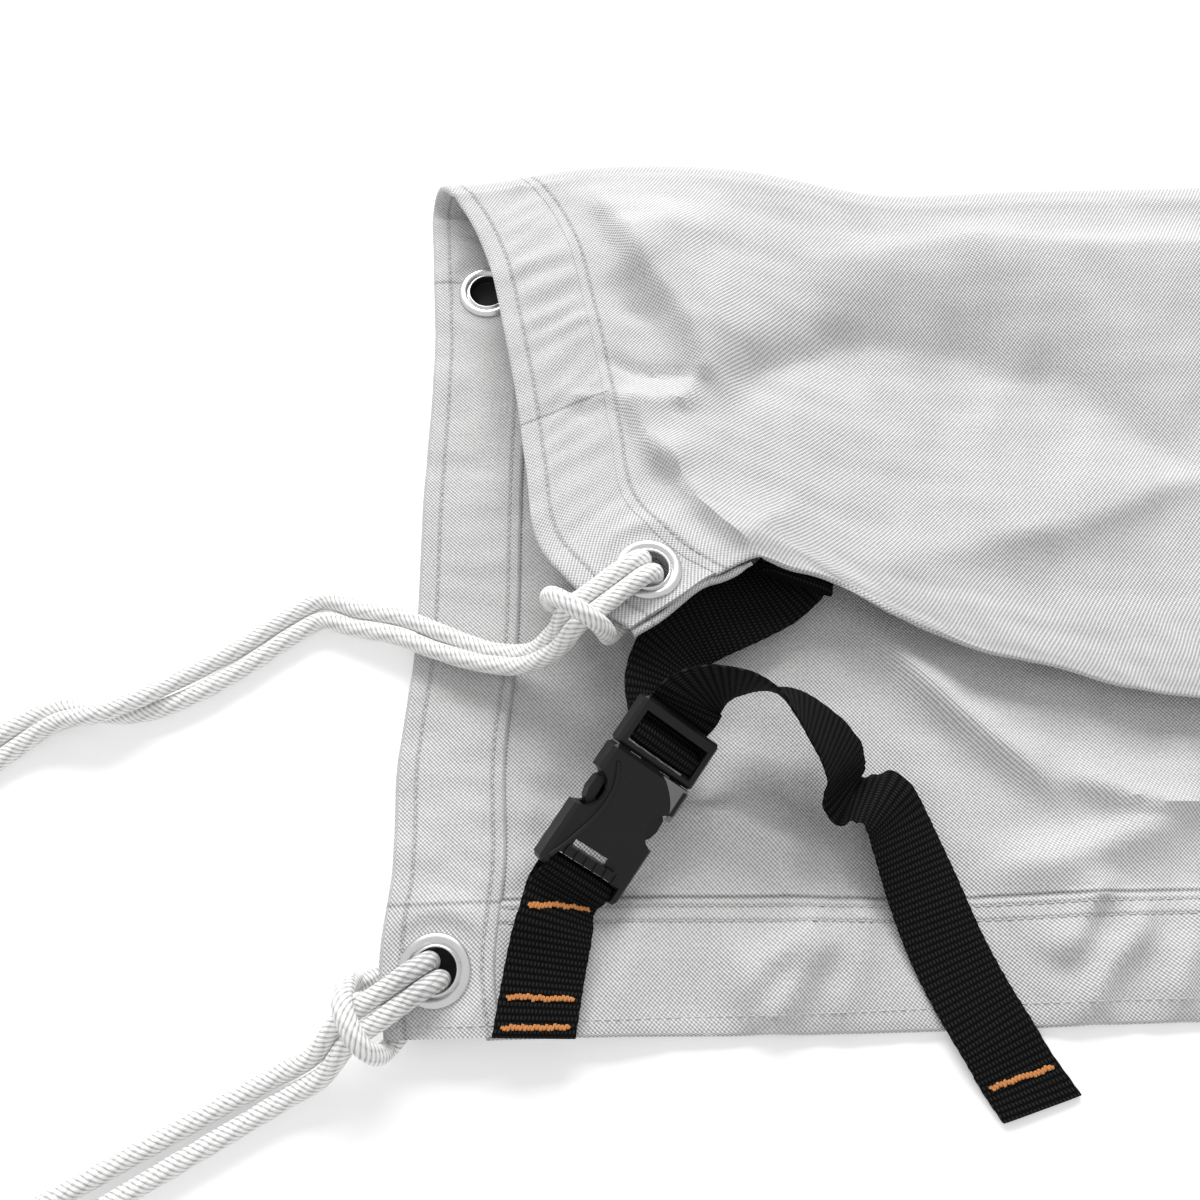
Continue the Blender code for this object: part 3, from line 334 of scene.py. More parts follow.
def addMesh(name, points, faces, uvs=None):  # faces wound outward, smooth shaded
    mesh = bpy.data.meshes.new(name)
    mesh.from_pydata(points.reshape(-1, 3).tolist(), [], faces)
    if uvs is not None:
        corners = np.zeros(len(mesh.loops), np.int32)
        mesh.loops.foreach_get("vertex_index", corners)
        layer = mesh.uv_layers.new(name="cloth")
        flat = uvs if len(uvs) == len(corners) else uvs[corners]  # given by corner or by vertex
        layer.data.foreach_set("uv", np.ascontiguousarray(flat, np.float32).ravel())
    work = bmesh.new()
    work.from_mesh(mesh)
    bmesh.ops.recalc_face_normals(work, faces=work.faces)
    work.to_mesh(mesh)
    work.free()
    mesh.shade_smooth()
    mesh.set_sharp_from_angle(angle=math.radians(50))
    item = bpy.data.objects.new(name, mesh)
    bpy.context.scene.collection.objects.link(item)
    return item


def gridFaces(rows, columns, closed):  # quads of a grid whose rows wrap when closed
    i, j = np.meshgrid(np.arange(rows if closed else rows - 1), np.arange(columns - 1), indexing="ij")
    below = (i + 1) % rows
    return np.stack([i * columns + j, below * columns + j, below * columns + j + 1, i * columns + j + 1], axis=-1)


def edgeArc(points, inner, beyond, steps):  # half circle from each point to its inner one
    middle = (points + inner) / 2
    radius = points - middle
    out = unit(beyond) * np.linalg.norm(radius, axis=-1, keepdims=True)
    turns = np.linspace(0.0, math.pi, steps + 2)[1:-1]
    return np.stack([middle + radius * math.cos(t) + out * math.sin(t) for t in turns])


def ringFaces(rows, around, closed=False):  # quads between rings of points, wrapped round each ring
    i, k = np.meshgrid(np.arange(rows if closed else rows - 1), np.arange(around), indexing="ij")
    below, after = (i + 1) % rows, (k + 1) % around
    return np.stack([i * around + k, i * around + after, below * around + after, below * around + k], axis=-1)


def cappedFaces(rows, around):  # ring quads and one face over each end
    last = around * (rows - 1)
    caps = [list(range(around))[::-1], list(range(last, last + around))]
    return ringFaces(rows, around).reshape(-1, 4).tolist() + caps


def clothShell(name, outer, inner, uv, hole=None, steps=3):  # two faces, rounded and capped at the edges
    rows, columns = outer.shape[:2]
    farArc = edgeArc(outer[-1], inner[-1], outer[-1] - outer[-2], steps)
    nearArc = edgeArc(inner[0], outer[0], outer[0] - outer[1], steps)
    loop = np.concatenate([outer, farArc, inner[::-1], nearArc])
    thickness = np.linalg.norm(outer[-1] - inner[-1], axis=-1)
    onward = np.arange(1, steps + 1)[:, None, None] / steps * thickness[None, :, None]
    outward, inward = (unit(uv[a] - uv[b]) for a, b in ((-1, -2), (0, 1)))
    uvs = np.concatenate([uv, uv[-1] + onward * outward, uv[::-1], uv[0] + onward[::-1] * inward])
    quads = gridFaces(len(loop), columns, True)
    back = rows + steps + (rows - 1 - np.arange(rows))  # row of the loop behind each outer row
    faces = []
    if hole is not None:
        keep = np.ones(quads.shape[:2], bool)
        keep[:rows - 1] = ~hole
        keep[rows + steps:2 * rows + steps - 1] = ~hole[::-1]
        quads = quads[keep]
        for down, changed in ((1, hole[1:] != hole[:-1]), (0, hole[:, 1:] != hole[:, :-1])):  # walls of the holes
            i, j = np.nonzero(changed)
            i, j = i + down, j + 1 - down
            iEnd, jEnd = i + 1 - down, j + down
            faces += np.stack([i * columns + j, iEnd * columns + jEnd,
                               back[iEnd] * columns + jEnd, back[i] * columns + j], axis=-1).tolist()
    i = np.arange(rows - 1)
    for j in (0, columns - 1):
        faces += (np.stack([i, i + 1, back[i + 1], back[i]], axis=-1) * columns + j).tolist()
        faces.append([(rows - 1 + k) * columns + j for k in range(steps + 2)])
        faces.append([(2 * rows + steps - 1 + k) % len(loop) * columns + j for k in range(steps + 2)])
    return addMesh(name, loop, quads.reshape(-1, 4).tolist() + faces, uvs.reshape(-1, 2))


def framesAlong(path, side):  # unit tangent, side and face at each point
    forward = unit(np.gradient(path, axis=0))
    side = unit(side - (side * forward).sum(axis=1, keepdims=True) * forward)
    return forward, side, np.cross(forward, side)


def carriedSide(path):  # side vectors carried along the path without twist
    forward = unit(np.gradient(path, axis=0))
    side = np.cross(forward[0], [0.3, 0.2, 1.0])
    sides = []
    for direction in forward:
        side = side - direction * side.dot(direction)
        side = side / np.linalg.norm(side)
        sides.append(side)
    return np.array(sides)


def tube(name, path, radius, around):  # circle of radius swept along the path, both ends capped
    side, face = framesAlong(path, carriedSide(path))[1:]
    s = travelled(path)
    turn = np.linspace(0.0, 2 * math.pi, around, endpoint=False)
    radius = np.broadcast_to(radius(s[:, None], turn[None, :]) if callable(radius) else radius, (len(path), around))
    points = path[:, None] + radius[..., None] * (np.cos(turn)[None, :, None] * side[:, None]
                                                  + np.sin(turn)[None, :, None] * face[:, None])
    i, k = np.indices((len(path) - 1, around))
    girth = 2 * math.pi * float(np.median(radius)) / around
    uvs = np.stack([np.stack([s[i + a], (k + b) * girth], -1) for a, b in ((0, 0), (0, 1), (1, 1), (1, 0))], axis=2)
    uvs = np.concatenate([uvs.reshape(-1, 2), np.zeros((2 * around, 2))])
    return addMesh(name, points, cappedFaces(len(path), around), uvs)


def dress(item, finish):  # material, body and material slot of a piece
    item.data.materials.append(finish)
    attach(item, "root")
    return item


# shader wiring

def feed(tree, entry, value):  # link a wire, or set a plain value
    if isinstance(value, Wire):
        tree.links.new(value.socket, entry)
    else:
        entry.default_value = value


class Wire:  # one socket, so that shader maths reads as plain arithmetic
    def __init__(self, tree, socket):
        self.tree = tree
        self.socket = socket

    def maths(self, operation, *values):  # operation(values)
        node = self.tree.nodes.new("ShaderNodeMath")
        node.operation = operation
        for entry, value in zip(node.inputs, values):
            feed(self.tree, entry, value)
        return Wire(self.tree, node.outputs[0])

    def __add__(self, other):
        return self.maths("ADD", self, other)

    def __radd__(self, other):
        return self.maths("ADD", other, self)

    def __sub__(self, other):
        return self.maths("SUBTRACT", self, other)

    def __rsub__(self, other):
        return self.maths("SUBTRACT", other, self)

    def __mul__(self, other):
        return self.maths("MULTIPLY", self, other)

    def __rmul__(self, other):
        return self.maths("MULTIPLY", other, self)

    def __truediv__(self, other):
        return self.maths("DIVIDE", self, other)

    def sine(self):  # sin x
        return self.maths("SINE", self)

    def size(self):  # |x|
        return self.maths("ABSOLUTE", self)

    def bell(self, place, width):  # exp(-((x - place) / width)^2)
        offset = (self - place) / width
        power = offset * offset * -1.0
        return self.maths("EXPONENT", power)

    def whole(self):  # x rounded down
        return self.maths("FLOOR", self)

    def above(self, level):  # 1 where x > level, else 0
        return self.maths("GREATER_THAN", self, level)

    def cut(self, low, high):  # clamp x between low and high
        return self.maths("MINIMUM", self.maths("MAXIMUM", self, low), high)


class Finish:  # one material, its shader and its coordinates
    def __init__(self, name, **constants):
        self.material = bpy.data.materials.new(name)
        self.material.use_nodes = True
        self.tree = self.material.node_tree
        self.shader = self.tree.nodes.get("Principled BSDF")
        for socket, value in constants.items():
            self.shader.inputs[socket.replace("_", " ")].default_value = value

    def node(self, kind, settings=None, inputs=None, output=0):  # a node of that kind as a wire
        made = self.tree.nodes.new(kind)
        for setting, value in (settings or {}).items():
            setattr(made, setting, value)
        for entry, value in (inputs or {}).items():
            feed(self.tree, made.inputs[entry], value)
        return Wire(self.tree, made.outputs[output])

    def parts(self, vector):  # x, y and z of a vector
        split = self.node("ShaderNodeSeparateXYZ", None, {0: vector}).socket.node
        return [Wire(self.tree, socket) for socket in split.outputs]

    def clothPlace(self):  # the two lengths of the cloth's own grid in metres, and both as a vector
        uv = self.node("ShaderNodeUVMap", {"uv_map": "cloth"})
        return *self.parts(uv)[:2], uv

    def objectPlace(self):  # place in the row frame
        return self.node("ShaderNodeTexCoord", output=3)

    def noise(self, vector, scale, detail=3.0, roughness=0.55):  # about 0 to 1
        inputs = {"Vector": vector, "Scale": scale, "Detail": detail, "Roughness": roughness}
        return self.node("ShaderNodeTexNoise", None, inputs)

    def blend(self, share, low, high):  # low * (1 - share) + high * share
        return self.node("ShaderNodeMix", {"data_type": "RGBA"}, {0: share, 6: (*low, 1.0), 7: (*high, 1.0)}, 2)

    def give(self, entry, value):  # into the shader
        feed(self.tree, self.shader.inputs[entry], value)

    def bump(self, height, strength=0.8):  # height in metres
        inputs = {"Height": height, "Strength": strength, "Distance": 1.0}
        self.give("Normal", self.node("ShaderNodeBump", None, inputs))


seam = {
    "half": 0.0007, "hemEdgeShadeHalf": 0.0006, "flapAfter": 0.013,
    "patches": 9.0, "slubs": 900.0, "wobbles": 22.0,  # noise scales
}


def canvasFinish(name, settings):  # two diagonal thread lines, seam grooves, faint patches; painted shade along the seam grooves and at the hem's turned edge
    made = Finish(name, Roughness=0.88, Sheen_Weight=0.15, Sheen_Roughness=0.5)
    u, girth, uv = made.clothPlace()
    wobble = made.noise(uv, seam["wobbles"], 2.0) * settings["wobble"]
    first, second = (((u + girth * way + wobble) * (2 * math.pi / settings["pitch"])).sine() for way in (1.0, -1.0))
    weave = first * settings["twill"] + second * (1.0 - settings["twill"])
    slub = made.noise(uv, seam["slubs"], 2.0)
    onFlap = girth.above(groundGirth + seam["flapAfter"])
    seams = u.bell(groundSeam, seam["half"]) * (1.0 - onFlap) + u.bell(flapSeam, seam["half"]) * onFlap
    for place in settings["seams"]:
        seams = seams + u.bell(place, seam["half"])
    for place in settings["cross"]:
        seams = seams + girth.bell(place, seam["half"])
    # painted shadow along the hem's turned edge, where its step shades the cloth
    hemEdgeShade = girth.bell(settings["edge"], seam["hemEdgeShadeHalf"])
    patch = made.noise(uv, seam["patches"], 3.0)
    # painted shade: darker along the seam grooves and at the hem's turned edge
    shade = (0.50 + weave * 0.46 + slub * 0.56 - seams * 0.28 - hemEdgeShade * 0.60 - patch * 0.26).cut(0.0, 1.0)
    made.give("Base Color", made.blend(shade, settings["dark"], settings["light"]))
    made.give("Roughness", 0.82 + slub * 0.12)
    made.bump(weave * 0.00018 + slub * 0.00008 - seams * 0.00035 - hemEdgeShade * 0.0006)
    return made.material


canvas = canvasFinish("coverCanvas", {
    "pitch": 0.00135, "twill": 0.62, "wobble": 0.0010, "dark": (0.20, 0.20, 0.20), "light": (0.80, 0.80, 0.80),
    "seams": [], "cross": cover["hemSeams"], "edge": 0.0402})
stripCanvas = canvasFinish("stripCanvas", {
    "pitch": 0.00130, "twill": 0.66, "wobble": 0.0014, "dark": (0.20, 0.20, 0.20), "light": (0.80, 0.80, 0.80),
    "seams": [outerSeam], "cross": [0.0392, 0.2720, flapStart + 0.1090], "edge": 2.0})


def plainFinish(name, dark, light, scale, roughness, swing, metallic=0.0, relief=0.0, **constants):  # mottled by noise
    made = Finish(name, Metallic=metallic, **constants)
    place = made.objectPlace()
    patch = made.noise(place, scale, 4.0)
    grain = made.noise(place, scale * 12.0, 2.0)
    made.give("Base Color", made.blend((patch * 0.7 + grain * 0.3).cut(0.0, 1.0), dark, light))
    made.give("Roughness", roughness + patch * swing)
    if relief:
        made.bump((grain + patch) * relief, 0.5)
    return made.material


rib = {"pitch": 0.0019, "dash": 0.00115}  # weft ribs along a strap, warp floats across it


def webbingFinish():  # bricks of short warp floats between weft ribs, the raised floats painted lighter as a highlight
    made = Finish("blackWebbing", Specular_IOR_Level=0.045)
    s, w, uv = made.clothPlace()
    ridge = (s * (math.pi / rib["pitch"])).sine().size()
    row = (s / rib["pitch"]).whole()
    dash = ((w / rib["dash"] + row * 0.5) * math.pi).sine().size()
    slub = made.noise(uv, 1400.0, 2.0)
    # raised floats: relief for the bump, and a lighter colour as a painted highlight
    liftedHighlight = (ridge * 1.6 - 0.55).cut(0.0, 1.0) * (dash * 1.7 - 0.6).cut(0.0, 1.0)
    shade = (liftedHighlight * 0.75 + slub * 0.25).cut(0.0, 1.0)
    made.give("Base Color", made.blend(shade, (0.0001, 0.0001, 0.0001), (0.026, 0.026, 0.027)))
    made.give("Roughness", 0.62 + slub * 0.25)
    made.bump(liftedHighlight * 0.00025 + slub * 0.00006)
    return made.material


lay = {"slant": 1.28, "yarn": 0.002356, "column": 0.003142, "fine": 0.0007}  # a cord's yarns


def cordFinish(hitchShadeAt):  # slanting yarns round a white cord, with painted shade greying it round the ground eyelet
    made = Finish("whiteCord", Roughness=0.7, Sheen_Weight=0.2, Sheen_Roughness=0.4)
    s, w, uv = made.clothPlace()
    x, y = made.parts(made.objectPlace())[:2]
    # painted shade: the cord darkened round the ground eyelet, where the hitch lies in the hole's shade
    hitchShade = (x.bell(hitchShadeAt[0], 0.015) * y.bell(hitchShadeAt[1], 0.015) * 1.2).cut(0.0, 1.0)
    stray = made.noise(uv, 260.0, 2.0) * 0.0011
    strand = made.noise(uv, 900.0, 2.0)
    yarn = ((s * lay["slant"] - w + stray) * (math.pi / lay["yarn"])).sine().size()
    column = ((w + s * 0.32 + stray) * (math.pi / lay["column"])).sine().size()
    fine = ((s * 1.1 - w * 0.7 + stray) * (2 * math.pi / lay["fine"])).sine()
    body = (yarn * 0.86 + column * 0.34 + fine * 0.08 + strand * 0.56 - 0.32 - hitchShade * 0.42).cut(0.0, 1.0)
    made.give("Base Color", made.blend(body, (0.36, 0.36, 0.36), (0.98, 0.98, 0.97)))
    made.give("Roughness", 0.55 + strand * 0.25)
    made.bump(yarn * 0.00024 + column * 0.00018 + fine * 0.00003 + strand * 0.00010)
    return made.material


webbing = webbingFinish()
whiteCord = cordFinish(eyeletPlaces["eyelet_ground"][0][:2].tolist())
plated = plainFinish("platedMetal", (0.70, 0.70, 0.71), (0.94, 0.94, 0.94), 60.0, 0.20, 0.16, 1.0, 0.00002)
moulded = plainFinish("mouldedPlastic", (0.004, 0.004, 0.0042), (0.011, 0.011, 0.0115), 90.0, 0.30, 0.20, 0.0, 0.00004,
                      Specular_IOR_Level=0.30)
# painted reflection: grey standing in for the shine on the black buckle socket's shoulder
reflectionPlastic = plainFinish("reflectionPlastic", (0.13, 0.13, 0.13), (0.20, 0.20, 0.20), 40.0, 0.22, 0.10)
# painted shade: near-black metal for the inner walls of the eyelets' barrels
barrelShade = plainFinish("shadedBarrel", (0.03, 0.03, 0.03), (0.07, 0.07, 0.07), 60.0, 0.45, 0.2, 0.6)
whiteThread = plainFinish("whiteThread", (0.42, 0.42, 0.42), (0.66, 0.66, 0.65), 500.0, 0.55, 0.25)
orangeThread = plainFinish("orangeThread", (0.40, 0.13, 0.03), (0.80, 0.34, 0.10), 700.0, 0.50, 0.25)
print("materials made")


# camera, light and floor

def paperFinish(settings):  # white paper, with painted shade: dark, unlit spots under the ground and centre eyelets, seen through their holes
    made = Finish("floorPaper", Roughness=0.85, Emission_Strength=settings["paperGlow"])
    place = made.objectPlace()
    x, y = made.parts(place)[:2]
    grain = made.noise(place, 3.0)
    # painted shade: dark spots that do not glow, under the eyelets
    paintedShade = 0.0
    for spotX, spotY in settings["shadeSpots"]:
        paintedShade = x.bell(spotX, settings["shadeWidth"]) * y.bell(spotY, settings["shadeWidth"]) + paintedShade
    paintedShade = (paintedShade * 1.6).cut(0.0, 1.0)
    made.give("Base Color", made.blend(paintedShade, (0.95, 0.95, 0.95), (0.02, 0.02, 0.02)))
    made.give("Emission Color", made.blend(paintedShade, (1.0, 1.0, 1.0), (0.0, 0.0, 0.0)))
    made.give("Roughness", 0.82 + grain * 0.06)
    return made.material


def addFixture(name, data, location, turn):  # camera or lamp in its place
    item = bpy.data.objects.new(name, data)
    item.location = location
    item.rotation_euler = turn
    bpy.context.scene.collection.objects.link(item)
    return item


def addStage(settings):  # camera, one soft lamp, white surroundings and a paper floor
    scene = bpy.context.scene
    scene.view_settings.view_transform = "Standard"
    camera = bpy.data.cameras.new("camera")
    camera.lens = settings["lens"]
    camera.sensor_width = settings["sensor"]
    scene.camera = addFixture("camera", camera, settings["eye"], (math.radians(settings["tilt"]), 0.0, 0.0))
    lamp = bpy.data.lights.new("softbox", "AREA")
    lamp.shape = "RECTANGLE"
    lamp.size, lamp.size_y = settings["softbox"]
    lamp.energy = settings["energy"]
    addFixture("softbox", lamp, settings["softboxPlace"], settings["softboxTurn"])
    world = bpy.data.worlds.new("studio")
    world.use_nodes = True
    background = world.node_tree.nodes["Background"]
    background.inputs["Color"].default_value = (1.0, 1.0, 1.0, 1.0)
    background.inputs["Strength"].default_value = settings["ambient"]
    scene.world = world
    lines = settings["floorLines"]
    span = np.linspace(-1.0, 1.0, lines) * settings["floorHalf"]
    x, y = np.meshgrid(span, span, indexing="ij")
    points = np.stack([x + settings["floorX"], y, np.full_like(x, settings["floorZ"])], axis=-1)
    floor = addMesh("floor", points, gridFaces(lines, lines, False).reshape(-1, 4)[:, ::-1].tolist())
    floor.data.materials.append(paperFinish(settings))


addStage({
    "lens": 33.0, "sensor": 36.0, "eye": (0.0, -0.1310, 0.3599), "tilt": 20.0, "softbox": (1.3, 0.6), "energy": 26.0,
    "softboxPlace": (-0.10, 1.28, 0.90), "softboxTurn": (math.radians(-55.0), 0.0, math.radians(5.0)), "ambient": 0.68,
    "floorLines": 9, "floorHalf": 4.0, "floorX": 0.3, "floorZ": -0.0003, "paperGlow": 0.20, "shadeWidth": 0.010,
    # painted shade spots under the ground and centre eyelets
    "shadeSpots": [eyeletPlaces[end][0][:2].tolist() for end in ("eyelet_ground", "eyelet_centre")]})
print("stage made")


# the two ties

ties = {
    "cordDiameter": 0.0060, "step": 0.0009, "around": 36, "relief": 0.030, "waver": (0.02, 410.0), "tip": 0.0016,
    "loop": [  # out side height
        (31.5, 0.0, 12.0), (31.5, 2.8, 11.8), (31.0, 6.6, 10.2), (29.8, 9.8, 6.0), (28.8, 11.2, 1.0),
        (27.4, 10.9, -3.8), (22.8, 9.4, -6.4), (16.0, 6.8, -6.7), (9.0, 4.4, -6.7), (3.4, 3.3, -6.5), (0.6, 3.2, -4.2),
        (0.0, 3.2, 0.0), (0.6, 3.2, 3.4), (4.6, 3.2, 5.6), (12.0, 3.2, 5.2), (22.0, 3.3, 3.8), (29.6, 3.3, 3.0)],
    "loopRows": 9, "pairRow": 14,
    "eyelet_ground": {  # pair: x y z halfGap turn
        "aim": (-0.83, -0.56, 0.10, 1.0, 0.0), "pull": 4.5,
        "pair": [(-83.6, -149.4, 7.0, 3.3, 0), (-94.0, -155.0, 4.2, 3.5, 0), (-106.0, -161.6, 3.4, 3.8, 0),
                 (-119.0, -168.8, 3.3, 4.0, 0), (-133.0, -176.6, 3.3, 4.2, 0), (-147.0, -184.4, 3.3, 4.4, 0),
                 (-161.0, -192.0, 3.3, 4.6, 0)]},
    "eyelet_flap": {
        "aim": (-0.79, -0.61, -0.36, 0.90, 6.0), "pull": 0.0,
        "pair": [(-15.0, -22.6, 21.6, 3.4, 20), (-24.0, -25.4, 13.4, 3.4, 35), (-37.0, -23.6, 9.0, 3.3, 30),
                 (-53.5, -18.0, 7.6, 3.3, 10), (-68.5, -12.0, 6.6, 3.3, 0), (-83.0, -8.6, 4.4, 3.3, 0),
                 (-95.5, -5.4, 3.7, 3.6, 0), (-105.5, -10.8, 3.6, 3.4, 0), (-119.5, -21.0, 3.6, 3.4, -4),
                 (-138.0, -32.6, 4.6, 3.4, -18), (-152.0, -39.6, 6.0, 3.3, -60), (-163.5, -42.4, 6.7, 3.3, -100),
                 (-179.0, -42.6, 5.2, 3.3, -150), (-194.0, -50.6, 3.6, 3.4, -180), (-208.0, -62.6, 3.6, 3.5, -180)]},
}


def eyeletFace(name):  # upward axis of an eyelet and its middle on the strip's upper face
    centre, normal = eyeletPlaces[name]
    up = normal if normal[2] > 0 else -normal
    return up, centre + (up * cover["stripPly"] if normal[2] < 0 else 0.0)


def hitchPoints(eyelet, sign):  # eyelet plane: out * row + side * row + up * height
    up, face = eyeletFace(eyelet)
    outX, outY, lean, narrow, turn = ties[eyelet]["aim"]
    out = np.array([outX, outY, 0.0])
    out = unit(out - up * out.dot(up))
    side = np.cross(up, out)
    rows = np.array(ties["loop"])
    index = np.arange(len(rows))
    rows[:, 0] -= ties[eyelet]["pull"] * (1.0 - ease(index, 5.0, 9.0))
    across = sign * rows[:, 1] * np.where(index < ties["loopRows"], narrow, 1.0)
    slant = np.where(index < ties["loopRows"], lean * across, 0.0)
    share = np.clip(index - ties["pairRow"] + 1, 0, None) / (len(rows) - ties["pairRow"])
    angle = np.radians(turn) * share
    rise = np.where(index >= ties["pairRow"], across * np.sin(angle), 0.0)
    across = np.where(index >= ties["pairRow"], across * np.cos(angle), across)
    return face + (np.outer(rows[:, 0] + slant, out) + np.outer(across, side) + np.outer(rows[:, 2] + rise, up)) * mm


def pairPoints(rows, sign):  # middle line + half gap turned about it
    rows = np.array(rows, float)
    middle = rows[:, :3]
    ahead = np.minimum(np.arange(len(rows)) + 1, len(rows) - 1)
    behind = np.maximum(np.arange(len(rows)) - 1, 0)
    forward = unit(middle[ahead] - middle[behind])
    level = unit(np.cross([0.0, 0.0, 1.0], forward))
    turn = np.radians(rows[:, 4])[:, None]
    return (middle + (level * np.cos(turn) + np.cross(forward, level) * np.sin(turn)) * rows[:, 3:4] * sign) * mm


def addTie(name, eyelet, nodes):  # one cord from tip to tip, through its own loop and the eyelet
    halves = [np.concatenate([hitchPoints(eyelet, sign), pairPoints(ties[eyelet]["pair"], sign)]) for sign in (-1, 1)]
    points = np.concatenate([halves[0][::-1], halves[1][1:]])
    knots = travelled(points)
    path = smoothCurve(knots, points, np.arange(0.0, knots[-1], ties["step"]))
    length = float(np.linalg.norm(np.diff(path, axis=0), axis=1).sum())

    def radius(s, turn):  # base * slow waver * yarn relief, rounded at both tips
        base = ties["cordDiameter"] / 2 * (1.0 + ties["waver"][0] * np.sin(s * ties["waver"][1]))
        yarns = 1.0 + ties["relief"] * np.abs(np.sin(4 * turn - s * lay["slant"] / lay["yarn"] * math.pi))
        return base * yarns * (1.0 - 0.75 * ease(np.maximum(s, length - s), length - ties["tip"], length) ** 2)

    item = dress(tube(name, path, radius, ties["around"]), whiteCord)
    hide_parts(*nodes)


addTie("groundTie", "eyelet_ground", ("tie_ground_a", "tie_ground_b"))
addTie("flapTie", "eyelet_flap", ("tie_flap_a", "tie_flap_b"))
print("ties made")


# canvas

def coverPly(girth, u):  # one ply, thicker in the hems
    width = cover["hemWidth"]
    hem = 1.0 - ease(girth, width - 0.0006, width + 0.0004)
    hem = np.maximum(hem, ease(girth, girthAll - width - 0.0004, girthAll - width + 0.0006))
    hem = np.maximum(hem, ease(u, coverLength - width - 0.001, coverLength - width + 0.001))
    return cover["ply"] + (cover["hemPly"] - cover["ply"]) * hem


grid = {
    "clothStart": 0.0302, "nearEnd": 0.282, "nearStep": 0.0024, "farStop": 0.042, "farColumns": 84,
    "farEdge": (0.041, 0.039, 0.030, 0.018, 0.008, 0.0), "clothRows": 0.0025, "stripRows": 0.0016, "edge": 0.0012,
    "hole": 0.0080, "under": 0.00025,  # holes in the strip under the eyelets, and how deep its margin lies
}


def girthRows(step):  # closer beside the hem's edges
    marks = [grid["edge"], 0.0045, *cover["hemSeams"], 0.0394, 0.0404, groundGirth, flapStart,
             girthAll - 0.0404, girthAll - 0.0394, girthAll - grid["edge"]]
    rows = [np.linspace(a, b, max(2, int(round((b - a) / step)) + 1))[:-1] for a, b in zip(marks[:-1], marks[1:])]
    return np.concatenate(rows + [[marks[-1]]])


def addCover():  # one folded sheet with its hems
    near = np.arange(grid["clothStart"], grid["nearEnd"], grid["nearStep"])
    far = np.linspace(near[-1] + grid["nearStep"], coverLength - grid["farStop"], grid["farColumns"])
    columns = np.concatenate([near, far, coverLength - np.array(grid["farEdge"])])
    girth, u = np.meshgrid(girthRows(grid["clothRows"]), columns, indexing="ij")
    outer = coverSurface(girth, u)
    normal = normalOf(flattened, girth, u)
    inner = outer - normal * coverPly(girth, u)[..., None]
    item = dress(clothShell("coverCloth", outer, inner, np.stack([u, girth], axis=-1)), canvas)
    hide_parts("cover_cloth")


def addStrip():  # the folded end strip, holed at the eyelets
    width = cover["stripWidth"]
    columns = np.concatenate([[grid["edge"], 0.0030, 0.0050, outerSeam, 0.0084], np.linspace(0.0102, 0.0276, 13),
                              [0.0290, 0.0300, groundSeam, 0.0324, flapSeam, width - grid["edge"]]])
    u, girth = np.meshgrid(columns, girthRows(grid["stripRows"]), indexing="ij")
    outer = coverSurface(girth, u)
    normal = normalOf(flattened, girth, u)
    inner = outer - normal * cover["stripPly"]
    under = ease(girth, groundGirth, flapStart) * ease(u, 0.027, 0.029)  # its margin lies under the flap's cloth
    outer = outer - normal * (grid["under"] * under)[..., None]
    cellGirth, cellAlong = ((place[1:, 1:] + place[:-1, :-1]) / 2 for place in (girth, u))
    hole = np.zeros(cellGirth.shape, bool)
    for place, along in eyelets.values():
        hole |= np.hypot(cellGirth - place, cellAlong - along) < grid["hole"]
    item = dress(clothShell("endStrip", outer, inner, np.stack([u, girth], axis=-1), hole), stripCanvas)
    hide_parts("end_strip")


hemRoll = {
    "radius": 0.00135, "taper": (0.042, 0.0465),
    "out": (0.0016, 0.0008, 210.0), "down": (0.0030, -0.0004, 320.0),  # shift, swing and its pace along the edge
}


def addHemRoll():  # second turned edge that shows under the flap's corner
    u = np.linspace(0.0015, 0.044, 70)
    edge = coverSurface(np.full_like(u, girthAll - grid["edge"]), u)
    for axis, (shift, swing, turns) in ((1, hemRoll["out"]), (2, hemRoll["down"])):
        edge[:, axis] -= shift + swing * np.sin(u * turns)
    item = tube("hemRoll", edge, lambda s, turn: hemRoll["radius"] * (1.0 - 0.5 * ease(s, *hemRoll["taper"])), 18)
    dress(item, stripCanvas)


addCover()
addStrip()
addHemRoll()
print("canvas made")


# eyelets

def addEyelet(node, name, settings):  # profile turned about the eyelet's axis
    up, face = eyeletFace(node)
    profile = np.array(settings["profile"]) * mm
    turn = np.linspace(0.0, 2 * math.pi, settings["around"], endpoint=False)
    side = unit(np.cross(up, [0.2, 1.0, 0.1]))
    ring = np.cos(turn)[:, None] * side + np.sin(turn)[:, None] * np.cross(up, side)
    points = face + profile[:, None, :1] * ring[None] + profile[:, None, 1:] * up
    faces = ringFaces(len(profile), len(turn), True).reshape(-1, 4).tolist()
    item = dress(addMesh(name, points, faces), plated)
    # painted shade on the barrel's inner wall, left off the flap eyelet
    item.data.materials.append(barrelShade)
    row = np.repeat(np.arange(len(profile)), len(turn))
    inBarrel = (row >= settings["barrel"][0]) & (row < settings["barrel"][1]) & (node != "eyelet_flap")
    item.data.polygons.foreach_set("material_index", inBarrel.astype(np.int32))
    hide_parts(node)


